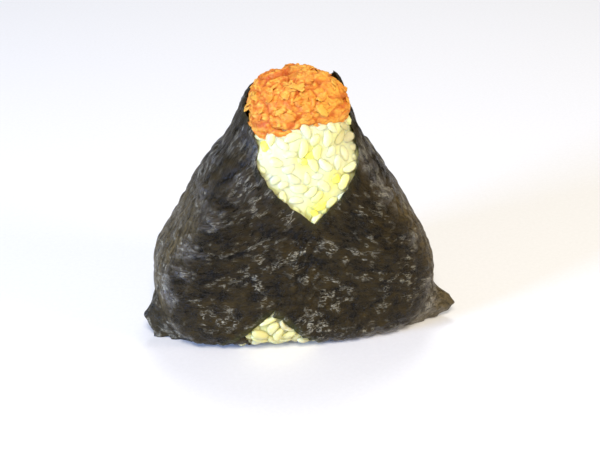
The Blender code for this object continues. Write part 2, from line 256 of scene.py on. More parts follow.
def skin_distance(points):
    """Distance out from the skin: the triangle and the two leaning faces, with round edges."""
    z = points[..., 2]
    crown = smooth_step(z, *CROWN_HEIGHTS)
    x = (points[..., 0] - CROWN_SHIFT * crown) * (1.0 + CROWN_PINCH * crown)
    y = points[..., 1] * (1.0 + CROWN_PINCH * crown)
    half_depth = HALF_DEPTH - math.tan(FACE_LEAN) * (z - DEPTH_HEIGHT)
    low = 1.0 - smooth_step(z, *BELLY_HEIGHTS)
    half_depth = half_depth - BELLY * low * (x / HALF_WIDTH) ** 2
    power = 2.0 + (FOOT_POWER - 2.0) * (1.0 - smooth_step(z, *FOOT_HEIGHTS))
    a = triangle_distance(x, z) + EDGE_RADIUS
    b = np.abs(y) - half_depth + EDGE_RADIUS
    corner = round_sum(np.maximum(a, 0.0), np.maximum(b, 0.0), power)
    return corner + np.minimum(np.maximum(a, b), 0.0) - EDGE_RADIUS


def skin_normal(points):
    """The way out from the skin at points near it."""
    step = 0.05 * MM
    slopes = [
        skin_distance(points + step * axis) - skin_distance(points - step * axis)
        for axis in np.eye(3)
    ]
    out = np.stack(slopes, axis=-1)
    return out / np.maximum(np.linalg.norm(out, axis=-1, keepdims=True), 1e-12)


def on_skin(directions, level, distance=skin_distance):
    """The points at a level from the skin, along rays from the body's heart."""
    unit = directions / np.linalg.norm(directions, axis=-1, keepdims=True)
    near = np.zeros(unit.shape[:-1])
    far = np.full(unit.shape[:-1], LONGEST_RAY)
    for _ in range(HALVINGS):
        reach = (near + far) / 2.0
        inside = distance(HEART + unit * reach[..., None]) < level
        near = np.where(inside, reach, near)
        far = np.where(inside, far, reach)
    return HEART + unit * near[..., None]


def smooth_path(points, places, closed=False):
    """Points along a smooth curve through the given ones; places count in points."""
    count = len(points)
    base = np.floor(places).astype(int)
    t = (places - base)[:, None]

    def take(offset):
        index = base + offset
        index = index % count if closed else np.clip(index, 0, count - 1)
        return points[index]

    before, start, end, after = take(-1), take(0), take(1), take(2)
    return 0.5 * (
        2.0 * start
        + (end - before) * t
        + (2.0 * before - 5.0 * start + 4.0 * end - after) * t**2
        + (3.0 * start - before - 3.0 * end + after) * t**3
    )


def arc_between(lower, upper, t):
    """Directions a share t of the way along the arc from the lower to the upper direction."""
    a = lower / np.linalg.norm(lower, axis=-1, keepdims=True)
    b = upper / np.linalg.norm(upper, axis=-1, keepdims=True)
    angle = np.arccos(np.clip((a * b).sum(axis=-1), -1.0, 1.0))[..., None]
    return (np.sin((1.0 - t) * angle) * a + np.sin(t * angle) * b) / np.sin(angle)


def noise_at(points, size, shift=0.0):
    """Smooth noise from about -1 to 1, with lumps of the given size; size may differ by axis."""
    scaled = points.reshape(-1, 3) / np.asarray(size) + shift
    values = np.array([noise.noise(Vector(point)) for point in scaled])
    return np.clip(1.6 * values, -1.0, 1.0).reshape(points.shape[:-1])


def cells_at(points, size, shift=0.0):
    """Rounded cells like packed grains: 1 at each middle, falling to 0 at the joins."""
    scaled = points.reshape(-1, 3) / np.asarray(size) + shift
    nearest = np.array([noise.voronoi(Vector(point))[0][:2] for point in scaled])
    gap = np.clip((nearest[:, 1] - nearest[:, 0]) / 0.55, 0.0, 1.0)
    return (1.0 - (1.0 - gap) ** 2).reshape(points.shape[:-1])


# ---------------------------------------------------------------- making things


def wire(tree, item, values=None, links=None):
    """Sets a node's inputs: values are fixed, links come from other nodes' outputs."""
    for key, value in (values or {}).items():
        item.inputs[key].default_value = value
    for key, socket in (links or {}).items():
        tree.links.new(socket, item.inputs[key])


def add_node(tree, kind, values=None, links=None, **settings):
    """Adds a node: settings are its own choices, values and links its inputs."""
    item = tree.nodes.new(kind)
    for key, value in settings.items():
        setattr(item, key, value)
    wire(tree, item, values, links)
    return item


def new_material(name):
    """An empty Principled material: its tree and its shader."""
    material = bpy.data.materials.new(name)
    material.use_nodes = True
    tree = material.node_tree
    return material, tree, tree.nodes["Principled BSDF"]


def colour(rgb):
    return (*rgb, 1.0)


def mesh_object(name, points, faces, material, tints=None, thickness=0.0):
    """A piece from its points and faces, placed on the body; tints are values by point."""
    mesh = bpy.data.meshes.new(name)
    mesh.from_pydata((np.asarray(points) + PLACE).tolist(), [], faces)
    for key, values in (tints or {}).items():
        values = np.asarray(values, dtype=np.float32)
        if values.ndim == 2:
            layer = mesh.attributes.new(key, "FLOAT_VECTOR", "POINT")
            layer.data.foreach_set("vector", values.ravel())
        else:
            layer = mesh.attributes.new(key, "FLOAT", "POINT")
            layer.data.foreach_set("value", values)
    mesh.shade_smooth()
    mesh.materials.append(material)
    piece = bpy.data.objects.new(name, mesh)
    bpy.context.scene.collection.objects.link(piece)
    if thickness:
        shell = piece.modifiers.new("Thickness", "SOLIDIFY")
        shell.thickness = thickness
        shell.offset = -1.0
    return piece


def grid_faces(rows, columns, closed=False):
    """Faces over rows of points; closed joins the last column to the first."""
    faces = []
    for row in range(rows - 1):
        for column in range(columns if closed else columns - 1):
            after = (column + 1) % columns
            a, b = row * columns + column, row * columns + after
            faces.append((a, b, b + columns, a + columns))
    return faces


def ball_grid(rings, segments):
    """Unit directions of a ball in rings from the lowest pole up, and its faces."""
    tilt = np.linspace(-math.pi / 2.0, math.pi / 2.0, rings + 1)[1:-1, None]
    turn = np.linspace(0.0, 2.0 * math.pi, segments, endpoint=False)[None, :]
    body = np.stack(
        (np.cos(tilt) * np.cos(turn), np.cos(tilt) * np.sin(turn), np.sin(tilt) + 0.0 * turn), -1)
    points = np.concatenate((body.reshape(-1, 3), ((0.0, 0.0, -1.0), (0.0, 0.0, 1.0))))
    faces = grid_faces(rings - 1, segments, closed=True)
    low, high = len(points) - 2, len(points) - 1
    last = (rings - 2) * segments
    for column in range(segments):
        after = (column + 1) % segments
        faces.append((low, after, column))
        faces.append((high, last + column, last + after))
    return points, faces


def join_copies(shapes, faces):
    """Many copies of one shape as one mesh: points (copies, count, 3) and all the faces."""
    copies, count = shapes.shape[:2]
    joined = [tuple(v + copy * count for v in face) for copy in range(copies) for face in faces]
    return shapes.reshape(-1, 3), joined


# ---------------------------------------------------------------- the nori sheet's plan


def sheet_plan(count):
    """Evenly spaced runs along the sheet, with the dense lists that edges are read from."""
    upper = np.array([station[0] for station in SHEET_STATIONS]) * MM
    lower = np.array([station[1] for station in SHEET_STATIONS]) * MM
    dense = np.linspace(0.0, len(upper) - 1.0, 40 * len(upper))
    tops = smooth_path(upper, dense)
    feet = smooth_path(lower, dense)
    middle = on_skin(arc_between(feet - HEART, tops - HEART, 0.5), 0.0)
    steps = np.linalg.norm(np.diff(middle, axis=0), axis=1)
    lengths = np.concatenate(((0.0,), np.cumsum(steps)))
    return np.linspace(0.0, lengths[-1], count), lengths, dense


def edges_at(run, lengths, dense):
    """The sheet's upper and lower edge at a run along it, and the stations passed."""
    upper = np.array([station[0] for station in SHEET_STATIONS]) * MM
    lower = np.array([station[1] for station in SHEET_STATIONS]) * MM
    places = np.interp(run, lengths, dense)
    return smooth_path(upper, places), smooth_path(lower, places), places


def bowed(run, t):
    """Runs along the sheet, drawn back from its right end where this is cut in a bow."""
    curve = math.sin(math.pi * min(max(t, 0.0), 1.0)) ** 0.8
    return run - END_BOW * curve * np.clip(1.0 - (run[-1] - run) / BOW_RUN, 0.0, 1.0)


def bowed_end(run, lengths, dense, index):
    """Points on the skin along one cut end of the sheet, from its foot up."""
    points = []
    for t in np.linspace(0.0, 1.0, LOOP_POINTS // 8):
        upper, lower, _ = edges_at(bowed(run, t)[[index]], lengths, dense)
        points.append(on_skin(arc_between(lower - HEART, upper - HEART, t), 0.0)[0])
    return np.array(points)


def flatten(points, pole):
    """The skin's points spread on a plane, as seen from the pole at the far side."""
    unit = points - HEART
    unit = unit / np.linalg.norm(unit, axis=-1, keepdims=True)
    return unit[:, :2] / np.maximum(1.0 - pole * unit[:, 2:], 1e-9)


def inside_loop(points, loop):
    """Whether points of a plane lie inside a closed loop."""
    inside = np.zeros(len(points), dtype=bool)
    for start, end in zip(loop, np.roll(loop, -1, axis=0)):
        crosses = (start[1] > points[:, 1]) != (end[1] > points[:, 1])
        rise = np.where(crosses, end[1] - start[1], 1.0)
        at = start[0] + (points[:, 1] - start[1]) / rise * (end[0] - start[0])
        inside ^= crosses & (points[:, 0] < at)
    return inside


def loop_depth(points, loop, pole):
    """How far points on the skin lie inside a loop on it; below zero outside."""
    gap = np.full(len(points), np.inf)
    for first in range(0, len(points), CHUNK):
        near = points[first:first + CHUNK]
        away = np.linalg.norm(near[:, None] - loop[None], axis=-1)
        gap[first:first + CHUNK] = away.min(axis=1)
    inside = inside_loop(flatten(points, pole), flatten(loop, pole))
    return np.where(inside, gap, -gap)


def opening_loops():
    """The outlines of the sheet's two openings: at the window and crown, and at the base."""
    run, lengths, dense = sheet_plan(LOOP_POINTS)
    upper, lower, places = edges_at(run, lengths, dense)
    open_stretch = (places > 1.0) & (places < len(SHEET_STATIONS) - 3.0)
    crown = on_skin(upper[open_stretch] - HEART, 0.0)
    right_end = bowed_end(run, lengths, dense, -1)
    left_end = bowed_end(run, lengths, dense, 0)
    left_end = left_end[left_end[:, 2] < SEAM_FOOT[2]][::-1]
    base = np.concatenate((on_skin(lower - HEART, 0.0), right_end, left_end))
    return crown, base


def opening_depths(points):
    """How far points on the skin lie inside the crown's opening and inside the base's."""
    crown, base = opening_loops()
    return loop_depth(points, crown, -1.0), loop_depth(points, base, 1.0)



# ---------------------------------------------------------------- materials

MIX_FACTOR, MIX_A, MIX_B, MIX_RESULT = 0, 6, 7, 2
# How many noise lumps fall in a metre along the sheet and across it: in front, then up the sides.
FIBRE_SCALES = ((0.42 / MM, 0.42 / MM, 1.05 / MM), (1.25 / MM, 1.25 / MM, 0.24 / MM))
FIBRE_WARPS = (1.1, 0.5)
FLAKE_FIBRES = (0.5 / MM, 0.5 / MM, 1.9 / MM)


def rice_steamed_soft(colours):
    """Short-grain rice, steamed: moist and milky, so light soaks in and the edges glow."""
    material, tree, shader = new_material("rice_steamed_soft")
    place = add_node(tree, "ShaderNodeTexCoord").outputs["Object"]
    tint = add_node(tree, "ShaderNodeAttribute", attribute_name="tint")
    shade = add_node(tree, "ShaderNodeAttribute", attribute_name="shade")
    starch = add_node(
        tree, "ShaderNodeTexNoise", {"Scale": 1.0 / (1.6 * MM), "Detail": 3.0},
        {"Vector": place})
    cloud = add_node(
        tree, "ShaderNodeMapRange",
        {"From Min": 0.4, "From Max": 0.75, "To Min": 0.0, "To Max": 0.3},
        {"Value": starch.outputs["Fac"]})
    # Painted shade: the shade attribute moves the rice towards the clear colour, low on the body and at
    # the window's upper corners.
    milky = add_node(
        tree, "ShaderNodeMix", {MIX_A: colour(colours.rice), MIX_B: colour(colours.rice_clear)},
        {MIX_FACTOR: shade.outputs["Fac"]}, data_type="RGBA")
    cloudy = add_node(
        tree, "ShaderNodeMix", {MIX_B: colour(colours.rice_clear)},
        {MIX_FACTOR: cloud.outputs["Result"], MIX_A: milky.outputs[MIX_RESULT]},
        data_type="RGBA")
    stained = add_node(
        tree, "ShaderNodeMix", {MIX_B: colour(colours.rice_tint)},
        {MIX_FACTOR: tint.outputs["Fac"], MIX_A: cloudy.outputs[MIX_RESULT]}, data_type="RGBA")
    wet = add_node(
        tree, "ShaderNodeMapRange", {"To Min": 0.28, "To Max": 0.55},
        {"Value": starch.outputs["Fac"]})
    furrow = add_node(
        tree, "ShaderNodeTexNoise", {"Scale": 1.0 / (0.45 * MM), "Detail": 2.0},
        {"Vector": place})
    bump = add_node(
        tree, "ShaderNodeBump", {"Strength": 0.4, "Distance": 0.06 * MM},
        {"Height": furrow.outputs["Fac"]})
    wire(tree, shader, {
        "Subsurface Weight": 0.8,
        "Subsurface Radius": (1.0, 0.85, 0.5),
        "Subsurface Scale": 2.6 * MM,
        "IOR": 1.4,
    }, {
        "Base Color": stained.outputs[MIX_RESULT],
        "Roughness": wet.outputs["Result"],
        "Normal": bump.outputs["Normal"],
    })
    return material


def seaweed_pressed_roasted(colours):
    """Seaweed pressed thin and roasted: near black, with curly pale fibres that catch the light, and
    painted glints laid on them.
    """
    material, tree, shader = new_material("seaweed_pressed_roasted")
    place = add_node(tree, "ShaderNodeAttribute", attribute_name="flow_place")
    slope = add_node(tree, "ShaderNodeAttribute", attribute_name="slope_place")
    thin = add_node(tree, "ShaderNodeAttribute", attribute_name="thin")
    streak = add_node(tree, "ShaderNodeAttribute", attribute_name="streak")
    flank = add_node(tree, "ShaderNodeAttribute", attribute_name="flank")
    glossy = add_node(tree, "ShaderNodeAttribute", attribute_name="glossy")
    # Fibres 0.4 mm wide lie along the wrap in front, and run up the slopes at the sides.
    runs = []
    for scale, source in zip(FIBRE_SCALES, (place, slope)):
        runs.append(add_node(
            tree, "ShaderNodeMapping", {"Scale": scale}, {"Vector": source.outputs["Vector"]}))
    ridges, waves = [], []
    for run, warp in zip(runs, FIBRE_WARPS):
        wave = add_node(
            tree, "ShaderNodeTexNoise",
            {"Scale": 1.0, "Detail": 3.0, "Roughness": 0.6, "Distortion": warp},
            {"Vector": run.outputs["Vector"]})
        off = add_node(
            tree, "ShaderNodeMath", {1: 0.5}, {0: wave.outputs["Fac"]}, operation="SUBTRACT")
        size = add_node(
            tree, "ShaderNodeMath", {}, {0: off.outputs["Value"]}, operation="ABSOLUTE")
        waves.append(wave)
        ridges.append(add_node(
            tree, "ShaderNodeMapRange",
            {"From Min": 0.0, "From Max": 0.05, "To Min": 1.0, "To Max": 0.0},
            {"Value": size.outputs["Value"]}))
    ridge = add_node(
        tree, "ShaderNodeMix", {},
        {0: streak.outputs["Fac"], 2: ridges[0].outputs["Result"],
         3: ridges[1].outputs["Result"]}, data_type="FLOAT")
    wave = add_node(
        tree, "ShaderNodeMix", {},
        {0: streak.outputs["Fac"], 2: waves[0].outputs["Fac"], 3: waves[1].outputs["Fac"]},
        data_type="FLOAT")
    # Only short lengths of the ridges stand up, in loose patches about 9 mm across.
    cut = add_node(
        tree, "ShaderNodeTexNoise", {"Scale": 1.0 / (2.4 * MM), "Detail": 1.0},
        {"Vector": place.outputs["Vector"]})
    patch = add_node(
        tree, "ShaderNodeTexNoise", {"Scale": 1.0 / (9.0 * MM), "Detail": 2.0},
        {"Vector": place.outputs["Vector"]})
    cut_share = add_node(
        tree, "ShaderNodeMapRange", {"From Min": 0.50, "From Max": 0.58},
        {"Value": cut.outputs["Fac"]})
    patchy = add_node(
        tree, "ShaderNodeMapRange",
        {"From Min": 0.46, "From Max": 0.60, "To Min": 0.04, "To Max": 1.0},
        {"Value": patch.outputs["Fac"]})
    standing = add_node(
        tree, "ShaderNodeMath", {},
        {0: ridge.outputs["Result"], 1: cut_share.outputs["Result"]}, operation="MULTIPLY")
    # Pale fibres with painted glints: the standing ridges in the patches are laid bright into the
    # colour.
    fleck = add_node(
        tree, "ShaderNodeMath", {},
        {0: standing.outputs["Value"], 1: patchy.outputs["Result"]}, operation="MULTIPLY")
    pale = add_node(
        tree, "ShaderNodeMath", {1: 0.75}, {0: fleck.outputs["Value"]}, operation="MULTIPLY")
    mottle = add_node(
        tree, "ShaderNodeTexNoise", {"Scale": 1.0 / (4.5 * MM), "Detail": 6.0, "Roughness": 0.75},
        {"Vector": place.outputs["Vector"]})
    mottle_share = add_node(
        tree, "ShaderNodeMapRange", {"From Min": 0.38, "From Max": 0.66},
        {"Value": mottle.outputs["Fac"]})
    blotched = add_node(
        tree, "ShaderNodeMix",
        {MIX_A: colour(colours.nori), MIX_B: colour(colours.nori_brown)},
        {MIX_FACTOR: mottle_share.outputs["Result"]}, data_type="RGBA")
    streaked = add_node(
        tree, "ShaderNodeMapRange",
        {"From Min": 0.40, "From Max": 0.62, "To Min": 0.15, "To Max": 1.0},
        {"Value": wave.outputs["Result"]})
    # Painted warm reflection: the streaks on the flanks are browned.
    flank_share = add_node(
        tree, "ShaderNodeMath", {},
        {0: flank.outputs["Fac"], 1: streaked.outputs["Result"]}, operation="MULTIPLY")
    flanked = add_node(
        tree, "ShaderNodeMix", {MIX_B: colour(colours.nori_flank)},
        {MIX_FACTOR: flank_share.outputs["Value"], MIX_A: blotched.outputs[MIX_RESULT]},
        data_type="RGBA")
    greened = add_node(
        tree, "ShaderNodeMix", {MIX_B: colour(colours.nori_thin)},
        {MIX_FACTOR: thin.outputs["Fac"], MIX_A: flanked.outputs[MIX_RESULT]},
        data_type="RGBA")
    flecked = add_node(
        tree, "ShaderNodeMix", {MIX_B: colour(colours.nori_fleck)},
        {MIX_FACTOR: pale.outputs["Value"], MIX_A: greened.outputs[MIX_RESULT]},
        data_type="RGBA")
    gloss = add_node(
        tree, "ShaderNodeMapRange",
        {"From Min": 0.35, "From Max": 0.65, "To Min": 0.2, "To Max": 0.48},
        {"Value": mottle.outputs["Fac"]})
    rubbed = add_node(
        tree, "ShaderNodeMath", {},
        {0: glossy.outputs["Fac"], 1: patchy.outputs["Result"]}, operation="MULTIPLY")
    sheen = add_node(
        tree, "ShaderNodeMath", {},
        {0: rubbed.outputs["Value"], 1: streaked.outputs["Result"]}, operation="MULTIPLY")
    shine = add_node(
        tree, "ShaderNodeMapRange", {"To Min": 0.11, "To Max": 1.0},
        {"Value": sheen.outputs["Value"]})
    fine = add_node(
        tree, "ShaderNodeBump", {"Strength": 1.0, "Distance": 0.9 * MM},
        {"Height": mottle.outputs["Fac"]})
    waved = add_node(
        tree, "ShaderNodeBump", {"Strength": 1.0, "Distance": 0.7 * MM},
        {"Height": wave.outputs["Result"], "Normal": fine.outputs["Normal"]})
    bump = add_node(
        tree, "ShaderNodeBump", {"Strength": 1.0, "Distance": 0.15 * MM},
        {"Height": standing.outputs["Value"], "Normal": waved.outputs["Normal"]})
    wire(tree, shader, {"IOR": 1.6}, {
        "Base Color": flecked.outputs[MIX_RESULT],
        "Specular IOR Level": shine.outputs["Result"],
        "Roughness": gloss.outputs["Result"],
        "Normal": bump.outputs["Normal"],
    })
    return material


def fish_cooked_flaked(colours):
    """Cooked fish, broken into moist flakes: orange fibres, pale on the ridges, with painted shade in
    the creases and under the flakes.
    """
    material, tree, shader = new_material("fish_cooked_flaked")
    place = add_node(tree, "ShaderNodeTexCoord").outputs["Object"]
    crease = add_node(tree, "ShaderNodeAttribute", attribute_name="crease")
    pale = add_node(tree, "ShaderNodeAttribute", attribute_name="pale")
    crumb = add_node(
        tree, "ShaderNodeTexNoise", {"Scale": 1.0 / (1.5 * MM), "Detail": 4.0},
        {"Vector": place})
    crumb_share = add_node(
        tree, "ShaderNodeMapRange",
        {"From Min": 0.44, "From Max": 0.62, "To Min": 0.0, "To Max": 0.9},
        {"Value": crumb.outputs["Fac"]})
    lit = add_node(
        tree, "ShaderNodeMix",
        {MIX_A: colour(colours.topping), MIX_B: colour(colours.topping_light)},
        {MIX_FACTOR: crumb_share.outputs["Result"]}, data_type="RGBA")
    paled = add_node(
        tree, "ShaderNodeMix", {MIX_B: colour(colours.topping_light)},
        {MIX_FACTOR: pale.outputs["Fac"], MIX_A: lit.outputs[MIX_RESULT]}, data_type="RGBA")
    # Painted shade: the crease mask darkens the creases and the flakes' undersides.
    creased = add_node(
        tree, "ShaderNodeMix", {MIX_B: colour(colours.topping_deep)},
        {MIX_FACTOR: crease.outputs["Fac"], MIX_A: paled.outputs[MIX_RESULT]},
        data_type="RGBA")
    moist = add_node(
        tree, "ShaderNodeMapRange", {"To Min": 0.4, "To Max": 0.65},
        {"Value": crumb.outputs["Fac"]})
    # Fibres about 0.5 mm thick and 2 mm long lie across the flakes.
    along = add_node(
        tree, "ShaderNodeMapping", {"Rotation": (0.0, 0.35, 0.0), "Scale": FLAKE_FIBRES},
        {"Vector": place})
    fibre = add_node(
        tree, "ShaderNodeTexNoise", {"Scale": 1.0, "Detail": 3.0, "Distortion": 0.6},
        {"Vector": along.outputs["Vector"]})
    bump = add_node(
        tree, "ShaderNodeBump", {"Strength": 1.0, "Distance": 0.4 * MM},
        {"Height": fibre.outputs["Fac"]})
    wire(tree, shader, {
        "Subsurface Weight": 0.22,
        "Subsurface Radius": (1.0, 0.45, 0.2),
        "Subsurface Scale": 1.0 * MM,
        "IOR": 1.4,
    }, {
        "Base Color": creased.outputs[MIX_RESULT],
        "Roughness": moist.outputs["Result"],
        "Normal": bump.outputs["Normal"],
    })
    return material


def radish_pickled_chopped(colours):
    """Pickled radish, chopped small: clear yellow and wet, so it glints at its cut corners."""
    material, tree, shader = new_material("radish_pickled_chopped")
    place = add_node(tree, "ShaderNodeTexCoord").outputs["Object"]
    veins = add_node(
        tree, "ShaderNodeTexNoise", {"Scale": 1.0 / (0.9 * MM), "Detail": 3.0},
        {"Vector": place})
    mixed = add_node(
        tree, "ShaderNodeMix",
        {MIX_A: colour(colours.yellow_bits), MIX_B: colour(colours.rice_tint)},
        {MIX_FACTOR: veins.outputs["Fac"]}, data_type="RGBA")
    wet = add_node(
        tree, "ShaderNodeMapRange", {"To Min": 0.22, "To Max": 0.45},
        {"Value": veins.outputs["Fac"]})
    bump = add_node(
        tree, "ShaderNodeBump", {"Strength": 0.4, "Distance": 0.08 * MM},
        {"Height": veins.outputs["Fac"]})
    wire(tree, shader, {
        "Subsurface Weight": 0.4,
        "Subsurface Radius": (1.0, 0.8, 0.2),
        "Subsurface Scale": 0.8 * MM,
        "IOR": 1.38,
    }, {
        "Base Color": mixed.outputs[MIX_RESULT],
        "Roughness": wet.outputs["Result"],
        "Normal": bump.outputs["Normal"],
    })
    return material


def card_painted_matt(colours):
    """Painted card: flat white with a slight tooth, so only soft shadows show on it."""
    material, tree, shader = new_material("card_painted_matt")
    place = add_node(tree, "ShaderNodeTexCoord").outputs["Object"]
    tooth = add_node(
        tree, "ShaderNodeTexNoise", {"Scale": 1.0 / (1.2 * MM), "Detail": 2.0},
        {"Vector": place})
    tone = add_node(
        tree, "ShaderNodeMix",
        {MIX_FACTOR: 0.0, MIX_A: colour(colours.floor), MIX_B: colour(colours.floor_fleck)},
        {MIX_FACTOR: tooth.outputs["Fac"]}, data_type="RGBA")
    bump = add_node(
        tree, "ShaderNodeBump", {"Strength": 0.2, "Distance": 0.05 * MM},
        {"Height": tooth.outputs["Fac"]})
    wire(tree, shader, {"Roughness": 0.85}, {
        "Base Color": tone.outputs[MIX_RESULT],
        "Normal": bump.outputs["Normal"],
    })
    return material


def finish_from(recipe, colours):
    """The material that a recipe makes, made once."""
    return bpy.data.materials.get(recipe.__name__) or recipe(colours)


# ---------------------------------------------------------------- the stage

VIEW_AZIMUTH = math.radians(-7.4)
VIEW_ELEVATION = math.radians(28.5)
VIEW_DISTANCE = 400.0 * MM
VIEW_HEIGHT = 33.0 * MM
VIEW_ASIDE = 2.07 * MM
VIEW_DOWN = 0.27 * MM
VIEW_WIDTH = 182.9 * MM
SENSOR = 36.0
FLOOR_SIZE = 3.0

# Soft boxes: name, place, size, watts and colour; each looks at the body's middle.
LIGHTS = (
    ("key_front", (-0.10, -0.70, 0.85), 0.30, 9.3, "#fff8ee"),
    ("window_left", (-0.85, -0.42, 0.26), 0.24, 14.0, "#a2c0ff"),
    ("fill_right", (0.80, -0.45, 0.40), 0.30, 4.0, "#fff0e0"),
    ("top_back", (0.10, 0.50, 0.85), 0.40, 3.5, "#f2f6ff"),
)
WORLD_COLOUR = "#eef1f5"
WORLD_STRENGTH = 0.22


def looking(location, target):
    """The rotation that turns a camera or light at a place towards a target."""
    return (Vector(target) - Vector(location)).to_track_quat("-Z", "Y").to_euler()


def make_camera():
    back = Vector((
        math.sin(VIEW_AZIMUTH) * math.cos(VIEW_ELEVATION),
        -math.cos(VIEW_AZIMUTH) * math.cos(VIEW_ELEVATION),
        math.sin(VIEW_ELEVATION),
    ))
    right = Vector((math.cos(VIEW_AZIMUTH), math.sin(VIEW_AZIMUTH), 0.0))
    up = back.cross(right)
    target = Vector(PLACE) + Vector((0.0, 0.0, VIEW_HEIGHT))
    target += right * VIEW_ASIDE - up * VIEW_DOWN
    data = bpy.data.cameras.new("camera")
    data.sensor_width = SENSOR
    data.lens = SENSOR * VIEW_DISTANCE / VIEW_WIDTH
    data.clip_start = 0.01
    camera = bpy.data.objects.new("camera", data)
    camera.location = target + back * VIEW_DISTANCE
    camera.rotation_euler = looking(camera.location, target)
    bpy.context.scene.collection.objects.link(camera)
    bpy.context.scene.camera = camera


def make_lights():
    middle = PLACE + np.array((0.0, 0.0, VIEW_HEIGHT))
    for name, place, size, watts, tone in LIGHTS:
        data = bpy.data.lights.new(name, "AREA")
        data.size = size
        data.energy = watts
        data.color = hex_linear(tone)
        lamp = bpy.data.objects.new(name, data)
        lamp.location = place
        lamp.rotation_euler = looking(place, middle)
        bpy.context.scene.collection.objects.link(lamp)
    world = bpy.data.worlds.new("studio")
    world.use_nodes = True
    sky = world.node_tree.nodes["Background"]
    sky.inputs["Color"].default_value = colour(hex_linear(WORLD_COLOUR))
    sky.inputs["Strength"].default_value = WORLD_STRENGTH
    bpy.context.scene.world = world


class ONIGIRI_OT_set_stage(bpy.types.Operator):
    """Set up the camera, the soft lights and the pale floor"""

    bl_idname = "onigiri.set_stage"
    bl_label = "Stage"

    def execute(self, context):
        make_camera()
        make_lights()
        half = FLOOR_SIZE / 2.0
        corners = [(-half, -half, 0.0), (half, -half, 0.0), (half, half, 0.0), (-half, half, 0.0)]
        finish = finish_from(card_painted_matt, context.scene.onigiri_colours)
        floor = mesh_object("floor", np.array(corners) - PLACE, [(0, 1, 2, 3)], finish)
        context.scene.view_settings.view_transform = "Standard"
        return {"FINISHED"}


# ---------------------------------------------------------------- the rice

CORE_RINGS, CORE_SEGMENTS = 110, 160
CORE_UNDER_SHEET = -1.9 * MM
CORE_BELOW_TOPS = 0.42 * MM
CORE_LOWER_AT_BASE = 0.9 * MM
CORE_BUMP = 0.3 * MM
CORE_BUMP_SIZE = 2.6 * MM

GRAIN_RINGS, GRAIN_SEGMENTS = 10, 12
GRAIN_CANDIDATES = 60000
GRAIN_LAYERS = (
    # depth of the layer, spacing between the grains' middles
    (0.0, 2.9 * MM),
    (1.7 * MM, 3.7 * MM),
)
GRAIN_OVERLAP = 0.9 * MM
GRAIN_HIDDEN = 0.7 * MM
GRAIN_BEAD = 1.12 * MM
GRAIN_SINK = 1.3 * MM
GRAIN_UNEVEN = 0.32 * MM
RICE_EDGE_LEVEL = -0.32 * MM
RICE_UNDER_SHEET = 1.5 * MM
RICE_SWELL = 1.1 * MM
RICE_SWELL_DEPTHS = (0.0, 6.0 * MM)
# How high rice may stand: by depth inside an opening, from well under the sheet to clear of it.
SHEET_EDGE_DEPTHS = np.array((-1.2, 0.0, 0.6)) * MM
SHEET_EDGE_LEVELS = np.array((-2.0, -0.2, 3.0)) * MM
RICE_CLUMP = 0.45 * MM
RICE_CLUMP_SIZE = 5.0 * MM
RICE_BASE_HEIGHTS = (1.0 * MM, 9.0 * MM)
RELAX_STEPS = 30
LONGEST_SHIFT = 1.6 * MM

# Where the yellow bits are: place on the skin, length and width.
YELLOW_BITS = (
    ((5.9, -18.7, 48.9), 4.2, 2.4),
    ((3.9, -18.9, 46.9), 3.2, 2.0),
    ((10.0, -17.9, 56.6), 2.8, 2.2),
    ((3.1, -17.1, 65.1), 3.2, 2.2),
    ((1.1, -17.3, 63.4), 2.4, 1.9),
    ((-10.7, -13.9, 69.2), 3.0, 2.4),
    ((6.0, 2.0, 0.0), 3.0, 2.2),
    ((-14.0, -1.0, 0.0), 2.6, 2.0),
)
STAIN_REACH = 4.5 * MM
STAIN_PATCH = 6.0 * MM
STAIN_PATCHY = 0.35
# Clear, wet grains show at the window's two upper corners, with painted shade where the sheet overhangs
# them.
CLEAR_PLACES = ((-11.8, -12.6, 69.6), (13.2, -12.4, 69.0), (13.4, -13.5, 66.6))
CLEAR_REACH = 2.6 * MM
# Painted shade: the rice at the base is laid darker, towards the clear colour, than the rice in the
# window.
SHADED_HEIGHTS = (8.0 * MM, 20.0 * MM)


def near_places(points, places, reach):
    """From 1 at the places down to 0 at the reach from them."""
    gaps = [np.linalg.norm(points - np.array(place) * MM, axis=-1) for place in places]
    return 1.0 - smooth_step(np.min(gaps, axis=0), 0.3 * reach, reach)


def rice_top(depth, skin):
    """How high the grains' tops stand against the skin, by depth inside an opening."""
    edge = RICE_EDGE_LEVEL - RICE_UNDER_SHEET * smooth_step(-depth, 0.0, GRAIN_OVERLAP)
    swell = RICE_SWELL * smooth_step(depth, *RICE_SWELL_DEPTHS)
    swell += RICE_CLUMP * noise_at(skin, RICE_CLUMP_SIZE, shift=51.0) * (depth > 0.0)
    return edge + swell * smooth_step(skin[..., 2], *RICE_BASE_HEIGHTS)


def rice_stain(points):
    """How far the yellow bits have stained the rice: around each bit, and in loose patches."""
    stain = 0.75 * near_places(points, [bit[0] for bit in YELLOW_BITS], STAIN_REACH)
    return stain + STAIN_PATCHY * (noise_at(points, STAIN_PATCH, shift=15.0) + 0.3)


def pressed_under_sheet(points):
    """Points of the rice, pushed in wherever they would stand through the sheet."""
    crown, base = opening_depths(on_skin(points - HEART, 0.0))
    depth = np.maximum(crown, base)
    limit = np.interp(depth, SHEET_EDGE_DEPTHS, SHEET_EDGE_LEVELS)
    over = np.maximum(skin_distance(points) - limit, 0.0)
    return points - over[:, None] * skin_normal(points)


def even_directions(count):
    """Directions spread evenly over a ball, by the golden angle."""
    index = np.arange(count) + 0.5
    up = 1.0 - 2.0 * index / count
    turn = index * math.pi * (3.0 - math.sqrt(5.0))
    out = np.sqrt(1.0 - up**2)
    return np.stack((out * np.cos(turn), out * np.sin(turn), up), axis=-1)


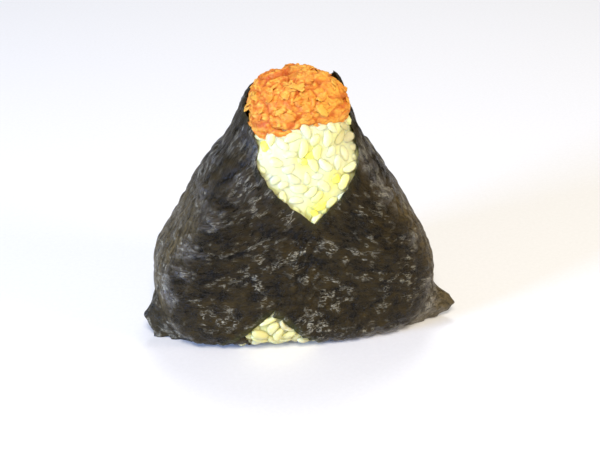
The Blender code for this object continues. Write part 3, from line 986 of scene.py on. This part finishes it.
def thinned(points, spacing):
    """Picks points in order, leaving out any closer than the spacing to one picked before."""
    free = np.ones(len(points), dtype=bool)
    picked = []
    for index in range(len(points)):
        if free[index]:
            picked.append(index)
            free &= np.linalg.norm(points - points[index], axis=1) > spacing
    return np.array(picked)


def topping_rim_loop():
    rim = np.array(TOPPING_RIM) * MM
    turns = np.linspace(0.0, len(rim), LOOP_POINTS // 4, endpoint=False)
    return on_skin(smooth_path(rim, turns, closed=True) - HEART, 0.0)


def grain_places(rng):
    """Middles for the loose grains, with the level that each one's middle keeps to."""
    flat = on_skin(even_directions(GRAIN_CANDIDATES), 0.0)
    crown, base = opening_depths(flat)
    depth = np.maximum(crown, base)
    covered = loop_depth(flat, topping_rim_loop(), -1.0) > GRAIN_HIDDEN
    keep = (depth > -GRAIN_OVERLAP) & ~covered
    flat, depth = flat[keep], depth[keep]
    places, levels = [], []
    for below, spacing in GRAIN_LAYERS:
        order = rng.permutation(len(flat))
        picked = order[thinned(flat[order], spacing)]
        top = rice_top(depth[picked], flat[picked])
        level = top - GRAIN_SINK - below + rng.normal(0.0, GRAIN_UNEVEN, len(picked))
        places.append(on_skin(flat[picked] - HEART, level))
        levels.append(level)
    return np.concatenate(places), np.concatenate(levels)


def unit_vectors(vectors):
    return vectors / np.maximum(np.linalg.norm(vectors, axis=-1, keepdims=True), 1e-12)


def settle(middles, levels, axes, reach):
    """Pushes grains apart, each a row of three beads, while they keep to their levels."""
    start = middles.copy()
    own = np.repeat(np.arange(len(middles)), 3)
    same = own[:, None] == own[None, :]
    offsets = np.array((-1.0, 0.0, 1.0))
    for _ in range(RELAX_STEPS):
        beads = middles[:, None] + axes[:, None] * (reach[:, None] * offsets)[..., None]
        beads = beads.reshape(-1, 3)
        apart = beads[:, None] - beads[None]
        gap = np.linalg.norm(apart, axis=-1)
        push = np.where(same, 0.0, np.clip(2.0 * GRAIN_BEAD - gap, 0.0, None))
        force = (apart * (push / np.maximum(gap, 0.01 * MM))[..., None]).sum(axis=1)
        force = 0.28 * force.reshape(-1, 3, 3)
        middles = middles + force.mean(axis=1)
        axes = unit_vectors(axes + (force[:, 2] - force[:, 0]) / (2.0 * reach[:, None]))
        out = skin_normal(middles)
        off = skin_distance(middles) - levels
        middles = middles - out * (0.5 * off)[:, None]
        lean = (axes * out).sum(axis=-1, keepdims=True)
        axes = unit_vectors(axes - 0.3 * lean * out)
        moved = middles - start
        far = np.maximum(np.linalg.norm(moved, axis=-1, keepdims=True) / LONGEST_SHIFT, 1.0)
        middles = start + moved / far
    return middles, axes


def grain_shapes(count, lengths, widths, rng):
    """Cooked grains in their own frame: plump rods, a little bent, notched at the germ's end."""
    ball, faces = ball_grid(GRAIN_RINGS, GRAIN_SEGMENTS)
    along = ball[:, 2]
    girth = (1.0 - np.abs(along) ** 2.6) ** 0.5
    around = unit_vectors(ball[:, :2] + 1e-9)
    taper = 1.0 + rng.uniform(-0.12, 0.12, (count, 1)) * along
    bend = rng.uniform(-0.35, 0.35, (count, 1)) * MM * (1.0 - 2.0 * along**2)
    flatness = rng.uniform(0.82, 0.98, (count, 1))
    germ = np.exp(-((along - 0.85) / 0.25) ** 2) * np.clip(around[:, 0], 0.0, 1.0)
    x = widths[:, None] / 2.0 * girth * taper * around[:, 0] * (1.0 - 0.35 * germ) + bend
    y = widths[:, None] / 2.0 * girth * taper * around[:, 1] * flatness
    z = lengths[:, None] / 2.0 * along * np.ones((count, 1))
    return np.stack((x, y, z), axis=-1), faces


def turned(shapes, axes, outs):
    """Turns shapes so that their z runs along each axis and their y points outwards."""
    side = unit_vectors(np.cross(outs, axes))
    up = np.cross(axes, side)
    frames = np.stack((side, up, axes), axis=1)
    return np.einsum("nvi,nij->nvj", shapes, frames)


class ONIGIRI_OT_rice_core(bpy.types.Operator):
    """Press the rice that lies behind the loose grains and under the nori"""

    bl_idname = "onigiri.rice_core"
    bl_label = "Rice core"

    def execute(self, context):
        ball, faces = ball_grid(CORE_RINGS, CORE_SEGMENTS)
        flat = on_skin(ball, 0.0)
        crown, base = opening_depths(flat)
        depth = np.maximum(crown, base)
        share = smooth_step(depth, -2.0 * MM, 0.5 * MM)
        base_share = 1.0 - smooth_step(flat[:, 2], *SHADED_HEIGHTS)
        filled = rice_top(depth, flat) - CORE_BELOW_TOPS - CORE_LOWER_AT_BASE * base_share
        level = CORE_UNDER_SHEET + (filled - CORE_UNDER_SHEET) * share
        level -= CORE_BUMP * (1.0 - cells_at(flat, CORE_BUMP_SIZE))
        points = on_skin(ball, level)
        points[:, 2] = np.maximum(points[:, 2], FLOOR_GAP)
        finish = finish_from(rice_steamed_soft, context.scene.onigiri_colours)
        stain = np.clip(rice_stain(points) + 0.1, 0.0, 1.0)
        # Painted shade: the core is darkened towards its base.
        tints = {"tint": stain, "shade": 0.1 + 0.55 * base_share}
        core = mesh_object("rice_core", points, faces, finish, tints)
        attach(core, BODY)
        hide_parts("rice_ball")
        return {"FINISHED"}


class ONIGIRI_OT_rice_grains(bpy.types.Operator):
    """Pack loose grains over the rice where the nori is open"""

    bl_idname = "onigiri.rice_grains"
    bl_label = "Rice grains"

    def execute(self, context):
        sizes = context.scene.onigiri_sizes
        rng = np.random.default_rng(11)
        middles, levels = grain_places(rng)
        count = len(middles)
        lengths = sizes.grain_length * np.clip(rng.normal(1.0, 0.07, count), 0.85, 1.18)
        widths = sizes.grain_width * np.clip(rng.normal(1.0, 0.05, count), 0.88, 1.12)
        out = skin_normal(middles)
        axes = rng.normal(size=(count, 3))
        axes = unit_vectors(axes - (axes * out).sum(axis=-1, keepdims=True) * out)
        middles, axes = settle(middles, levels, axes, (lengths - 2.0 * GRAIN_BEAD) / 2.0)
        tilt = rng.normal(0.0, 0.12, (count, 1))
        out = skin_normal(middles)
        axes = unit_vectors(axes + tilt * out)
        shapes, grain_faces = grain_shapes(count, lengths, widths, rng)
        placed = turned(shapes, axes, out) + middles[:, None]
        stain = np.clip(rice_stain(middles) + rng.uniform(-0.05, 0.1, count), 0.0, 1.0)
        clear = near_places(middles, CLEAR_PLACES, 2.0 * CLEAR_REACH)
        # Painted shade: grains low on the body are darkened towards the clear colour.
        clear += 0.55 * (1.0 - smooth_step(middles[:, 2], *SHADED_HEIGHTS))
        clear = np.clip(clear + rng.uniform(0.0, 0.2, count), 0.0, 1.0)
        points, faces = join_copies(placed, grain_faces)
        points += 0.05 * MM * noise_at(points, 0.9 * MM)[:, None] * skin_normal(points)
        points = pressed_under_sheet(points)
        points[:, 2] = np.maximum(points[:, 2], FLOOR_GAP)
        each = shapes.shape[1]
        tints = {"tint": np.repeat(stain, each), "shade": np.repeat(clear, each)}
        finish = finish_from(rice_steamed_soft, context.scene.onigiri_colours)
        grains = mesh_object("rice_grains", points, faces, finish, tints)
        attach(grains, BODY)
        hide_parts("rice_ball")
        return {"FINISHED"}


class ONIGIRI_OT_yellow_bits(bpy.types.Operator):
    """Press chopped yellow bits in among the grains"""

    bl_idname = "onigiri.yellow_bits"
    bl_label = "Yellow bits"

    def execute(self, context):
        rng = np.random.default_rng(5)
        ball, bit_faces = ball_grid(12, 16)
        shapes, places = [], []
        for place, length, width in YELLOW_BITS:
            blocky = np.sign(ball) * np.abs(ball) ** 0.7
            half = np.array((width, 0.6 * width, length)) * MM / 2.0
            shape = blocky * half
            shape *= 1.0 + 0.22 * noise_at(ball, 0.8, shift=rng.uniform(0.0, 50.0))[:, None]
            shapes.append(shape)
            places.append(place)
        flat = on_skin(np.array(places) * MM - HEART, 0.0)
        crown, base = opening_depths(flat)
        level = rice_top(np.maximum(crown, base), flat) - 0.75 * MM
        middles = on_skin(flat - HEART, level)
        out = skin_normal(middles)
        axes = rng.normal(size=middles.shape)
        axes = unit_vectors(axes - (axes * out).sum(axis=-1, keepdims=True) * out)
        placed = turned(np.array(shapes), axes, out) + middles[:, None]
        points, faces = join_copies(placed, bit_faces)
        points = pressed_under_sheet(points)
        points[:, 2] = np.maximum(points[:, 2], FLOOR_GAP)
        finish = finish_from(radish_pickled_chopped, context.scene.onigiri_colours)
        bits = mesh_object("yellow_bits", points, faces, finish)
        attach(bits, BODY)
        return {"FINISHED"}


# ---------------------------------------------------------------- the nori

SHEET_COLUMNS, SHEET_ROWS = 330, 104
AROUND_RADIUS = 40.0 * MM
EDGE_TEAR = 0.35 * MM
EDGE_LIFT = 0.35 * MM
NICK_PLACE = (-11.2, -17.9, 56.3)
NICK_REACH = 1.1 * MM
NICK_DEPTH = 1.2 * MM
HORN_PLACE = (13.5, 6.6, 76.6)
HORN_REACH = 3.4 * MM
HORN_RISE = (0.2, 0.0, 3.0)
HORN_START = 0.93
HORN_HOOK = 0.8 * MM
LAP_LEVEL = 0.04 * MM
THIN_REACH = 2.6 * MM
THIN_AT_ARCH, THIN_AT_WINDOW = 0.6, 0.15
ARCH_TOP = 22.0 * MM
# Heights over which the flanks' painted warm reflection fades out.
FLANK_HEIGHTS = (38.0 * MM, 56.0 * MM)
FLOW_LEAN = 1.1
FLOW_HEIGHTS = (14.0 * MM, 60.0 * MM)
FLOW_MIDDLE = 4.0 * MM
GLOSSY_HEIGHTS = (44.0 * MM, 64.0 * MM)
# Rice pushes the sheet out in rows of glossy knobs down the front's two side edges.
KNOBS = (
    (-27.0, -8.0, 51.0), (-22.5, -15.9, 50.0), (-26.0, -17.0, 42.8), (-32.0, -17.0, 33.0),
    (-36.0, -15.7, 25.0), (-39.3, -13.3, 18.9), (21.0, -13.5, 57.0), (26.0, -13.5, 47.0),
    (31.5, -14.0, 37.0))
KNOB_REACH = 5.5 * MM
KNOB_HEIGHT = 0.9 * MM


def lap_raise(points, places):
    """How far the right flap is raised over the left one."""
    x, z = points[..., 0], points[..., 2]
    seam_x = np.interp(z, (SEAM_FOOT[2], SEAM_HEAD[2]), (SEAM_FOOT[0], SEAM_HEAD[0]))
    near_seam = 1.0 - smooth_step(x - seam_x, *LAP_WIDTHS)
    off_base = smooth_step(z, *LAP_FOOT_HEIGHTS)
    below_window = 1.0 - smooth_step(z, *LAP_HEAD_HEIGHTS)
    on_right = places > len(SHEET_STATIONS) / 2.0
    on_front = points[..., 1] < 0.0
    return LAP_LEVEL * near_seam * off_base * below_window * on_right * on_front


def around_and_up(points):
    """A place's run around the body and its height: streaks up the slopes follow these."""
    turn = np.arctan2(points[..., 0], -points[..., 1])
    return np.stack((
        AROUND_RADIUS * np.cos(turn), AROUND_RADIUS * np.sin(turn), points[..., 2]), axis=-1)


def flow_place(points):
    """A place's level in the sheet's flow: lines of one level run along its fibres in front."""
    x, z = points[..., 0], points[..., 2]
    lean = FLOW_LEAN * smooth_step(z, *FLOW_HEIGHTS)
    flow = z + lean * np.hypot(x - FLOW_MIDDLE, FLOW_MIDDLE)
    return np.stack((x, points[..., 1], flow), axis=-1)


def glossy_share(points):
    """1 where the sheet is rubbed glossy: along the front's side edges and towards the crown."""
    front = front_share(points)
    edge = 4.0 * front * (1.0 - front)
    crown = 0.45 * smooth_step(points[..., 2], *GLOSSY_HEIGHTS)
    return np.maximum(np.maximum(edge, crown), near_places(points, KNOBS, KNOB_REACH))


def front_share(points):
    """1 where the sheet faces forwards or backwards, 0 where it faces sideways."""
    out = skin_normal(points)
    return smooth_step(np.abs(out[..., 1]), 0.35, 0.85)


def sheet_relief(points, sizes):
    """The sheet's unevenness: rice pressing through, crinkles in front, creases up the sides."""
    front = front_share(points)
    loose = 0.5 + 0.5 * noise_at(points, 16.0 * MM, shift=3.0)
    rice = cells_at(points, 5.0 * MM) - 0.6
    slope = around_and_up(points)
    creases = 1.0 - np.abs(noise_at(slope, (2.4 * MM, 2.4 * MM, 22.0 * MM), shift=7.0))
    crinkles = 1.0 - np.abs(noise_at(points, (5.5 * MM, 5.5 * MM, 2.0 * MM), shift=11.0))
    sag = noise_at(points, 13.0 * MM, shift=21.0)
    relief = sizes.sheet_bumps * rice * (1.0 - 0.55 * loose) * (1.0 + glossy_share(points))
    relief += 0.34 * MM * (creases**3 - 0.3) * (1.0 - front) * (0.4 + 0.6 * loose)
    relief += 0.5 * MM * (crinkles**3 - 0.3) * front * (0.35 + 0.65 * loose)
    relief += 0.5 * MM * sag
    relief += KNOB_HEIGHT * near_places(points, KNOBS, KNOB_REACH) * (0.4 + rice)
    return relief


def bump_at(points, place, reach):
    """1 at a place, falling smoothly to 0 at the reach from it."""
    gap = np.linalg.norm(points - np.array(place) * MM, axis=-1)
    return 1.0 - smooth_step(gap, 0.0, reach)


def nori_surface(sizes):
    """Rows of points on the sheet's outer face, from its lower edge to its upper one."""
    run, lengths, dense = sheet_plan(SHEET_COLUMNS)
    along = np.stack((run, 0.0 * run, 0.0 * run), axis=-1)
    straight = edges_at(run, lengths, dense)[0]
    tear = EDGE_TEAR * (noise_at(along, 1.7 * MM) + noise_at(along, 6.0 * MM, 4.0))
    tear -= NICK_DEPTH * bump_at(straight, NICK_PLACE, NICK_REACH)
    horn = bump_at(straight, HORN_PLACE, HORN_REACH)
    lift = EDGE_LIFT * np.clip(0.4 + noise_at(along, 7.0 * MM, 9.0), 0.0, 1.0)
    rows, flats = [], []
    for t in np.linspace(0.0, 1.0, SHEET_ROWS):
        upper, lower, places = edges_at(bowed(run, t), lengths, dense)
        free = np.maximum(skin_distance(upper), 0.0)
        free = free * smooth_step(upper[:, 1], *HOOD_DEPTHS) * smooth_step(t, HOOD_START, 1.0)
        height = np.linalg.norm(upper - lower, axis=1)
        share = (t * (1.0 + tear / height))[:, None]
        directions = arc_between(lower - HEART, upper - HEART, share)
        flat = on_skin(directions, 0.0)
        level = lap_raise(flat, places) + free + lift * smooth_step(t, 0.965, 1.0)
        points = on_skin(directions, level + sheet_relief(flat, sizes))
        points += np.array(HORN_RISE) * MM * (horn * smooth_step(t, HORN_START, 1.0))[:, None]
        points[:, 0] -= HORN_HOOK * horn**2 * smooth_step(t, 0.98, 1.0)
        rows.append(points)
        flats.append(flat)
    return np.array(rows), np.array(flats)


def corner_distance(points, side, rim):
    """Distance from the skin with one of its base corners pinched out to a thin rim."""
    body = skin_distance(points)
    across = side * points[..., 0]
    reach = np.interp(points[..., 2], *(np.array(rim).T * MM))
    inward = reach - across
    half = RIM_HALF + PINCH_HALF * (1.0 - np.exp(-np.maximum(inward, 0.0) / PINCH_RUN))
    aside = np.abs(points[..., 1] - PINCH_LEAN * across) - half
    wedge = np.maximum(np.maximum(0.85 * aside, -inward), RIM_FLOOR - points[..., 2])
    blend = np.clip(0.5 + 0.5 * (wedge - body) / PINCH_BLEND, 0.0, 1.0)
    joined = wedge + (body - wedge) * blend
    return joined - PINCH_BLEND * blend * (1.0 - blend)


def make_corner(name, side, rim, look, finish, sizes):
    """A base corner of the sheet, drawn out and pinched flat between finger and thumb."""
    spread = np.linspace(-1.0, 1.0, CORNER_COLUMNS)
    turn = CORNER_TURN * np.sign(spread) * np.abs(spread) ** 1.6 + math.atan(PINCH_LEAN)
    tilt = np.linspace(*CORNER_TILTS, CORNER_ROWS)[:, None]
    directions = np.stack((
        side * np.cos(tilt) * np.cos(turn),
        np.cos(tilt) * np.sin(turn),
        np.sin(tilt) + 0.0 * turn,
    ), axis=-1)

    def pinched(points):
        return corner_distance(points, side, rim)

    flat = on_skin(directions, 0.0)
    drawn = np.linalg.norm(on_skin(directions, 0.0, pinched) - flat, axis=-1)
    risen = smooth_step(drawn, 0.1 * MM, 1.2 * MM)
    relief = sheet_relief(flat, sizes)
    crumple = noise_at(on_skin(directions, 0.0, pinched), 2.6 * MM, shift=6.0)
    level = relief * (1.0 - 0.6 * risen) - 0.5 * MM * (1.0 - risen) + 0.45 * MM * crumple * risen
    level = np.maximum(level, -0.2 * MM * risen - 1.0 * MM * (1.0 - risen))
    points = on_skin(directions, level, pinched)
    points[..., 2] = np.maximum(points[..., 2], FLOOR_GAP + sizes.sheet_thickness)
    faces = grid_faces(CORNER_ROWS, CORNER_COLUMNS)
    if side > 0.0:
        faces = [face[::-1] for face in faces]
    points = points.reshape(-1, 3)
    tints = {
        "flow_place": flow_place(points),
        "slope_place": around_and_up(points),
        "thin": 0.05 * risen.ravel(),
        "streak": np.full(len(points), 0.4),
        "glossy": look[0] * risen.ravel(),
        # Painted warm reflection brightens the drawn-out part of each corner, by its share.
        "flank": look[1] * risen.ravel(),
    }
    corner = mesh_object(name, points, faces, finish, tints, thickness=sizes.sheet_thickness)
    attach(corner, BODY)
    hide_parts("nori_wrap")
    return corner


# How far out each pinched corner's rim stands, by height.
RIGHT_RIM = ((0.6, 44.6), (1.4, 46.2), (2.7, 48.2), (5.1, 50.0), (8.2, 48.2), (11.6, 42.6), (17.0, 38.0))
LEFT_RIM = ((0.6, 43.8), (3.7, 44.9), (5.9, 45.7), (8.2, 46.8), (10.6, 44.8), (13.0, 42.6), (18.0, 39.0))
# How glossy each pinched corner is, and how much painted warm reflection brightens it.
RIGHT_LOOK, LEFT_LOOK = (1.8, 1.2), (0.2, 0.0)
PINCH_LEAN = -0.13
PINCH_HALF = 8.0 * MM
PINCH_RUN = 12.0 * MM
PINCH_BLEND = 4.0 * MM
RIM_HALF = 0.32 * MM
RIM_FLOOR = 0.5 * MM
CORNER_TURN = math.radians(42.0)
CORNER_TILTS = (math.radians(-55.0), math.radians(-12.0))
CORNER_ROWS, CORNER_COLUMNS = 80, 91


class ONIGIRI_OT_nori_sheet(bpy.types.Operator):
    """Wrap the rice in one sheet of roasted nori"""

    bl_idname = "onigiri.nori_sheet"
    bl_label = "Nori sheet"

    def execute(self, context):
        sizes = context.scene.onigiri_sizes
        surface, flat = nori_surface(sizes)
        rows, columns = surface.shape[:2]
        points = surface.reshape(-1, 3)
        points[:, 2] = np.maximum(points[:, 2], FLOOR_GAP)
        skin = flat.reshape(-1, 3)
        crown, base = opening_depths(skin)
        edge = -np.maximum(crown, base)
        thin = 1.0 - smooth_step(edge, 0.0, THIN_REACH)
        thin *= np.where(skin[:, 2] < ARCH_TOP, THIN_AT_ARCH, THIN_AT_WINDOW) * (skin[:, 1] < 0.0)
        tints = {
            "flow_place": flow_place(skin),
            "slope_place": around_and_up(skin),
            "thin": thin,
            "streak": 1.0 - front_share(skin),
            "glossy": glossy_share(skin),
            # Painted warm reflection: brown streaks on the lower flanks, fading out towards the crown.
            "flank": (1.0 - front_share(skin)) * (1.0 - smooth_step(skin[:, 2], *FLANK_HEIGHTS)),
        }
        faces = [face[::-1] for face in grid_faces(rows, columns)]
        finish = finish_from(seaweed_pressed_roasted, context.scene.onigiri_colours)
        sheet = mesh_object(
            "nori_sheet", points, faces, finish, tints, thickness=sizes.sheet_thickness)
        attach(sheet, BODY)
        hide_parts("nori_wrap")
        return {"FINISHED"}


class ONIGIRI_OT_corner_folds(bpy.types.Operator):
    """Leave a pinched fold of nori standing at each corner of the base"""

    bl_idname = "onigiri.corner_folds"
    bl_label = "Corner folds"

    def execute(self, context):
        finish = finish_from(seaweed_pressed_roasted, context.scene.onigiri_colours)
        sizes = context.scene.onigiri_sizes
        make_corner("nori_corner_right", 1.0, RIGHT_RIM, RIGHT_LOOK, finish, sizes)
        make_corner("nori_corner_left", -1.0, LEFT_RIM, LEFT_LOOK, finish, sizes)
        return {"FINISHED"}


# ---------------------------------------------------------------- the topping

MOUND_RINGS, MOUND_SEGMENTS = 150, 210
MOUND_BED = -0.8 * MM
MOUND_FULLNESS = 5.0
MOUND_LEFT = 0.3
MOUND_LEFT_REACH = (2.0 * MM, 12.0 * MM)
FLAKE_RINGS, FLAKE_SEGMENTS = 12, 12
# Painted shading across the topping: paler towards the right, deeper orange towards the left.
PALE_SIDES = (-8.0 * MM, 6.0 * MM)
MOUND_HEART = (0.4, -3.0, 66.0)
# Sizes of the plates, how steeply they tilt, their share of the creases, and a shift.
MOUND_PLATES = (
    ((9.0, 9.0, 5.0), 2.3, 0.8, 2.0),
    ((4.2, 4.2, 2.1), 1.2, 0.55, 8.0),
    ((1.8, 1.8, 0.9), 0.4, 0.2, 5.0),
)
MOUND_WARP = 0.9 * MM
PLATE_JOIN = 0.14
PLATE_SHIFTS = ((11.0, 0.0, 0.0), (0.0, 17.0, 0.0), (0.0, 0.0, 23.0))
# The palest flakes lie on the front of the mound.
PALE_PLACES = ((3.0, -17.5, 75.0), (7.5, -16.0, 76.5))
PALE_REACH = 4.5 * MM


def mound_points(ball, sizes):
    """The topping's heap over the crown: its underside on the rice, its top round and full."""
    reach = np.hypot(ball[:, 0], ball[:, 1])
    turn = np.arctan2(-ball[:, 0], -ball[:, 1]) / (2.0 * math.pi) % 1.0
    rim = smooth_path(np.array(TOPPING_RIM) * MM, turn * len(TOPPING_RIM), closed=True)
    centre = np.array(TOPPING_CENTRE) * MM
    directions = centre + (rim - centre) * reach[:, None] - HEART
    height = np.sqrt(np.maximum(1.0 - reach**MOUND_FULLNESS, 0.0))
    flat = on_skin(directions, 0.0)
    swell = 1.0 + 0.15 * noise_at(flat, 8.0 * MM, shift=1.0)
    swell += MOUND_LEFT * smooth_step(-flat[:, 0], *MOUND_LEFT_REACH)
    above = ball[:, 2] > 0.0
    level = MOUND_BED + np.where(above, height * sizes.topping_height * swell, 0.0)
    return on_skin(directions, level), height * above


def plates_at(points, size, shift):
    """Tilted plates like broken flakes: each place's rise, nearness to a join, and its plate."""
    scaled = points.reshape(-1, 3) / size + shift
    rise, join, plate = [], [], []
    for point in scaled:
        gaps, middles = noise.voronoi(Vector(point))
        tilt = Vector([noise.noise(middles[0] * 3.7 + Vector(axis)) for axis in PLATE_SHIFTS])
        rise.append(tilt.dot(Vector(point) - middles[0]) + 0.3 * tilt.x)
        join.append(1.0 - min((gaps[1] - gaps[0]) / PLATE_JOIN, 1.0))
        plate.append(noise.noise(middles[0] * 5.3))
    return np.array(rise), np.array(join), np.clip(0.5 + np.array(plate), 0.0, 1.0)


def mound_relief(points):
    """Shreds of fish: the rise of its plates, the creases between them for painted shade, and how pale
    each is.
    """
    warp = MOUND_WARP * np.stack(
        [noise_at(points, 2.6 * MM, shift=s) for s in (31.0, 37.0, 41.0)], axis=-1)
    rise, crease, pale = 0.0, 0.0, 0.0
    for size, depth, share, shift in MOUND_PLATES:
        lift, join, plate = plates_at(points + warp, np.array(size) * MM, shift)
        rise = rise + depth * MM * (lift - 0.25 * join)
        crease = np.maximum(crease, share * join)
        pale = pale + share * plate
    return rise, crease, pale / sum(layer[2] for layer in MOUND_PLATES)


def mound_surface(ball, sizes):
    """The topping's surface of plates: points, painted crease shade, paleness, and the way out."""
    smooth, height = mound_points(ball, sizes)
    rise, crease, pale = mound_relief(smooth)
    out = unit_vectors(smooth - np.array(MOUND_HEART) * MM)
    rough = np.clip(3.0 * height, 0.0, 1.0)
    return smooth + out * (rise * rough)[:, None], crease * rough, pale, out


def flake_shapes(lengths, widths, rng):
    """Flakes in their own frame: thin bent chips with ragged rims and ribs along their fibres."""
    count = len(lengths)
    ball, faces = ball_grid(FLAKE_RINGS, FLAKE_SEGMENTS)
    along, aside, up = ball[:, 2], ball[:, 0], ball[:, 1]
    plump = np.abs(up) ** 0.8 * np.sign(up)
    shift = rng.uniform(0.0, 90.0, (count, 1, 3))
    ragged = noise_at(1.8 * ball[None] + shift, 1.0)
    ribs = np.sin(9.0 * aside + rng.uniform(0.0, 6.0, (count, 1)))
    bend = rng.uniform(-0.22, 0.22, (count, 1)) * (1.0 - 3.0 * along**2)
    curl = rng.uniform(-0.1, 0.35, (count, 1)) * aside**2
    grow = 1.0 + 0.3 * ragged
    x = widths[:, None] / 2.0 * aside * grow
    y = widths[:, None] * (0.09 * plump + 0.025 * ribs * (up > 0.0) - curl * 0.6 + bend * 0.5)
    z = lengths[:, None] / 2.0 * along * grow
    return np.stack((x, y, z), axis=-1), faces


class ONIGIRI_OT_topping_mound(bpy.types.Operator):
    """Heap the flaked topping on the crown"""

    bl_idname = "onigiri.topping_mound"
    bl_label = "Topping mound"

    def execute(self, context):
        sizes = context.scene.onigiri_sizes
        ball, faces = ball_grid(MOUND_RINGS, MOUND_SEGMENTS)
        points, crease, plate, _ = mound_surface(ball, sizes)
        # Painted shading: the right side is laid paler, the left deeper orange.
        pale = 0.8 * plate + 0.5 * smooth_step(points[:, 0], *PALE_SIDES) - 0.3
        pale = np.clip(pale + 0.5 * near_places(points, PALE_PLACES, PALE_REACH), 0.0, 1.0)
        finish = finish_from(fish_cooked_flaked, context.scene.onigiri_colours)
        mound = mesh_object(
            "topping_mound", points, faces, finish, {"crease": crease, "pale": 0.85 * pale})
        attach(mound, BODY)
        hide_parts("topping")
        return {"FINISHED"}


class ONIGIRI_OT_topping_flakes(bpy.types.Operator):
    """Scatter loose flakes over the topping"""

    bl_idname = "onigiri.topping_flakes"
    bl_label = "Topping flakes"

    def execute(self, context):
        sizes = context.scene.onigiri_sizes
        rng = np.random.default_rng(23)
        count = sizes.flake_count
        up = rng.uniform(0.35, 1.0, count)
        turn = rng.uniform(0.0, 2.0 * math.pi, count)
        side = np.sqrt(1.0 - up**2)
        ball = np.stack((side * np.cos(turn), side * np.sin(turn), up), axis=-1)
        middles, _, _, out = mound_surface(ball, sizes)
        lengths = np.clip(rng.lognormal(math.log(2.8), 0.35, count), 1.4, 4.6) * MM
        widths = lengths * rng.uniform(0.35, 0.7, count)
        axes = rng.normal(size=(count, 3))
        axes = unit_vectors(axes - (axes * out).sum(axis=-1, keepdims=True) * out)
        axes = unit_vectors(axes + rng.uniform(-0.15, 0.15, (count, 1)) * out)
        lean = unit_vectors(out + 0.18 * rng.normal(size=(count, 3)))
        shapes, flake_faces = flake_shapes(lengths, widths, rng)
        placed = turned(shapes, axes, lean) + (middles - 0.1 * MM * out)[:, None]
        points, faces = join_copies(placed, flake_faces)
        each = shapes.shape[1]
        ball_y = np.tile(ball_grid(FLAKE_RINGS, FLAKE_SEGMENTS)[0][:, 1], count)
        # Painted shade: each flake's underside is darkened, with a little random depth by flake.
        crease = np.clip(-0.8 * ball_y, 0.0, 0.8) + 0.15 * np.repeat(rng.random(count), each)
        pale = np.repeat(rng.random(count) ** 1.5, each)
        finish = finish_from(fish_cooked_flaked, context.scene.onigiri_colours)
        flakes = mesh_object(
            "topping_flakes", points, faces, finish, {"crease": crease, "pale": pale})
        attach(flakes, BODY)
        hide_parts("topping")
        return {"FINISHED"}


# ---------------------------------------------------------------- the panel and the run


class ONIGIRI_PT_maker(bpy.types.Panel):
    """Buttons that make the onigiri's pieces in order"""

    bl_idname = "ONIGIRI_PT_maker"
    bl_label = "Onigiri"
    bl_space_type = "VIEW_3D"
    bl_region_type = "UI"
    bl_category = "Onigiri"

    def draw(self, context):
        for group in (context.scene.onigiri_sizes, context.scene.onigiri_colours):
            box = self.layout.box()
            for key in group.bl_rna.properties.keys():
                if key not in ("rna_type", "name"):
                    box.prop(group, key)
        for maker in MAKERS:
            self.layout.operator(maker.bl_idname)


MAKERS = (
    ONIGIRI_OT_set_stage,
    ONIGIRI_OT_rice_core,
    ONIGIRI_OT_rice_grains,
    ONIGIRI_OT_yellow_bits,
    ONIGIRI_OT_nori_sheet,
    ONIGIRI_OT_corner_folds,
    ONIGIRI_OT_topping_mound,
    ONIGIRI_OT_topping_flakes,
)
CLASSES = (OnigiriSizes, OnigiriColours, *MAKERS, ONIGIRI_PT_maker)


def register():
    for item in CLASSES:
        bpy.utils.register_class(item)
    bpy.types.Scene.onigiri_sizes = PointerProperty(type=OnigiriSizes)
    bpy.types.Scene.onigiri_colours = PointerProperty(type=OnigiriColours)


def unregister():
    del bpy.types.Scene.onigiri_colours
    del bpy.types.Scene.onigiri_sizes
    for item in reversed(CLASSES):
        bpy.utils.unregister_class(item)


def main():
    register()
    bpy.ops.onigiri.set_stage()
    bpy.ops.onigiri.rice_core()
    bpy.ops.onigiri.rice_grains()
    bpy.ops.onigiri.yellow_bits()
    bpy.ops.onigiri.nori_sheet()
    bpy.ops.onigiri.corner_folds()
    bpy.ops.onigiri.topping_mound()
    bpy.ops.onigiri.topping_flakes()


if __name__ == "__main__":
    main()
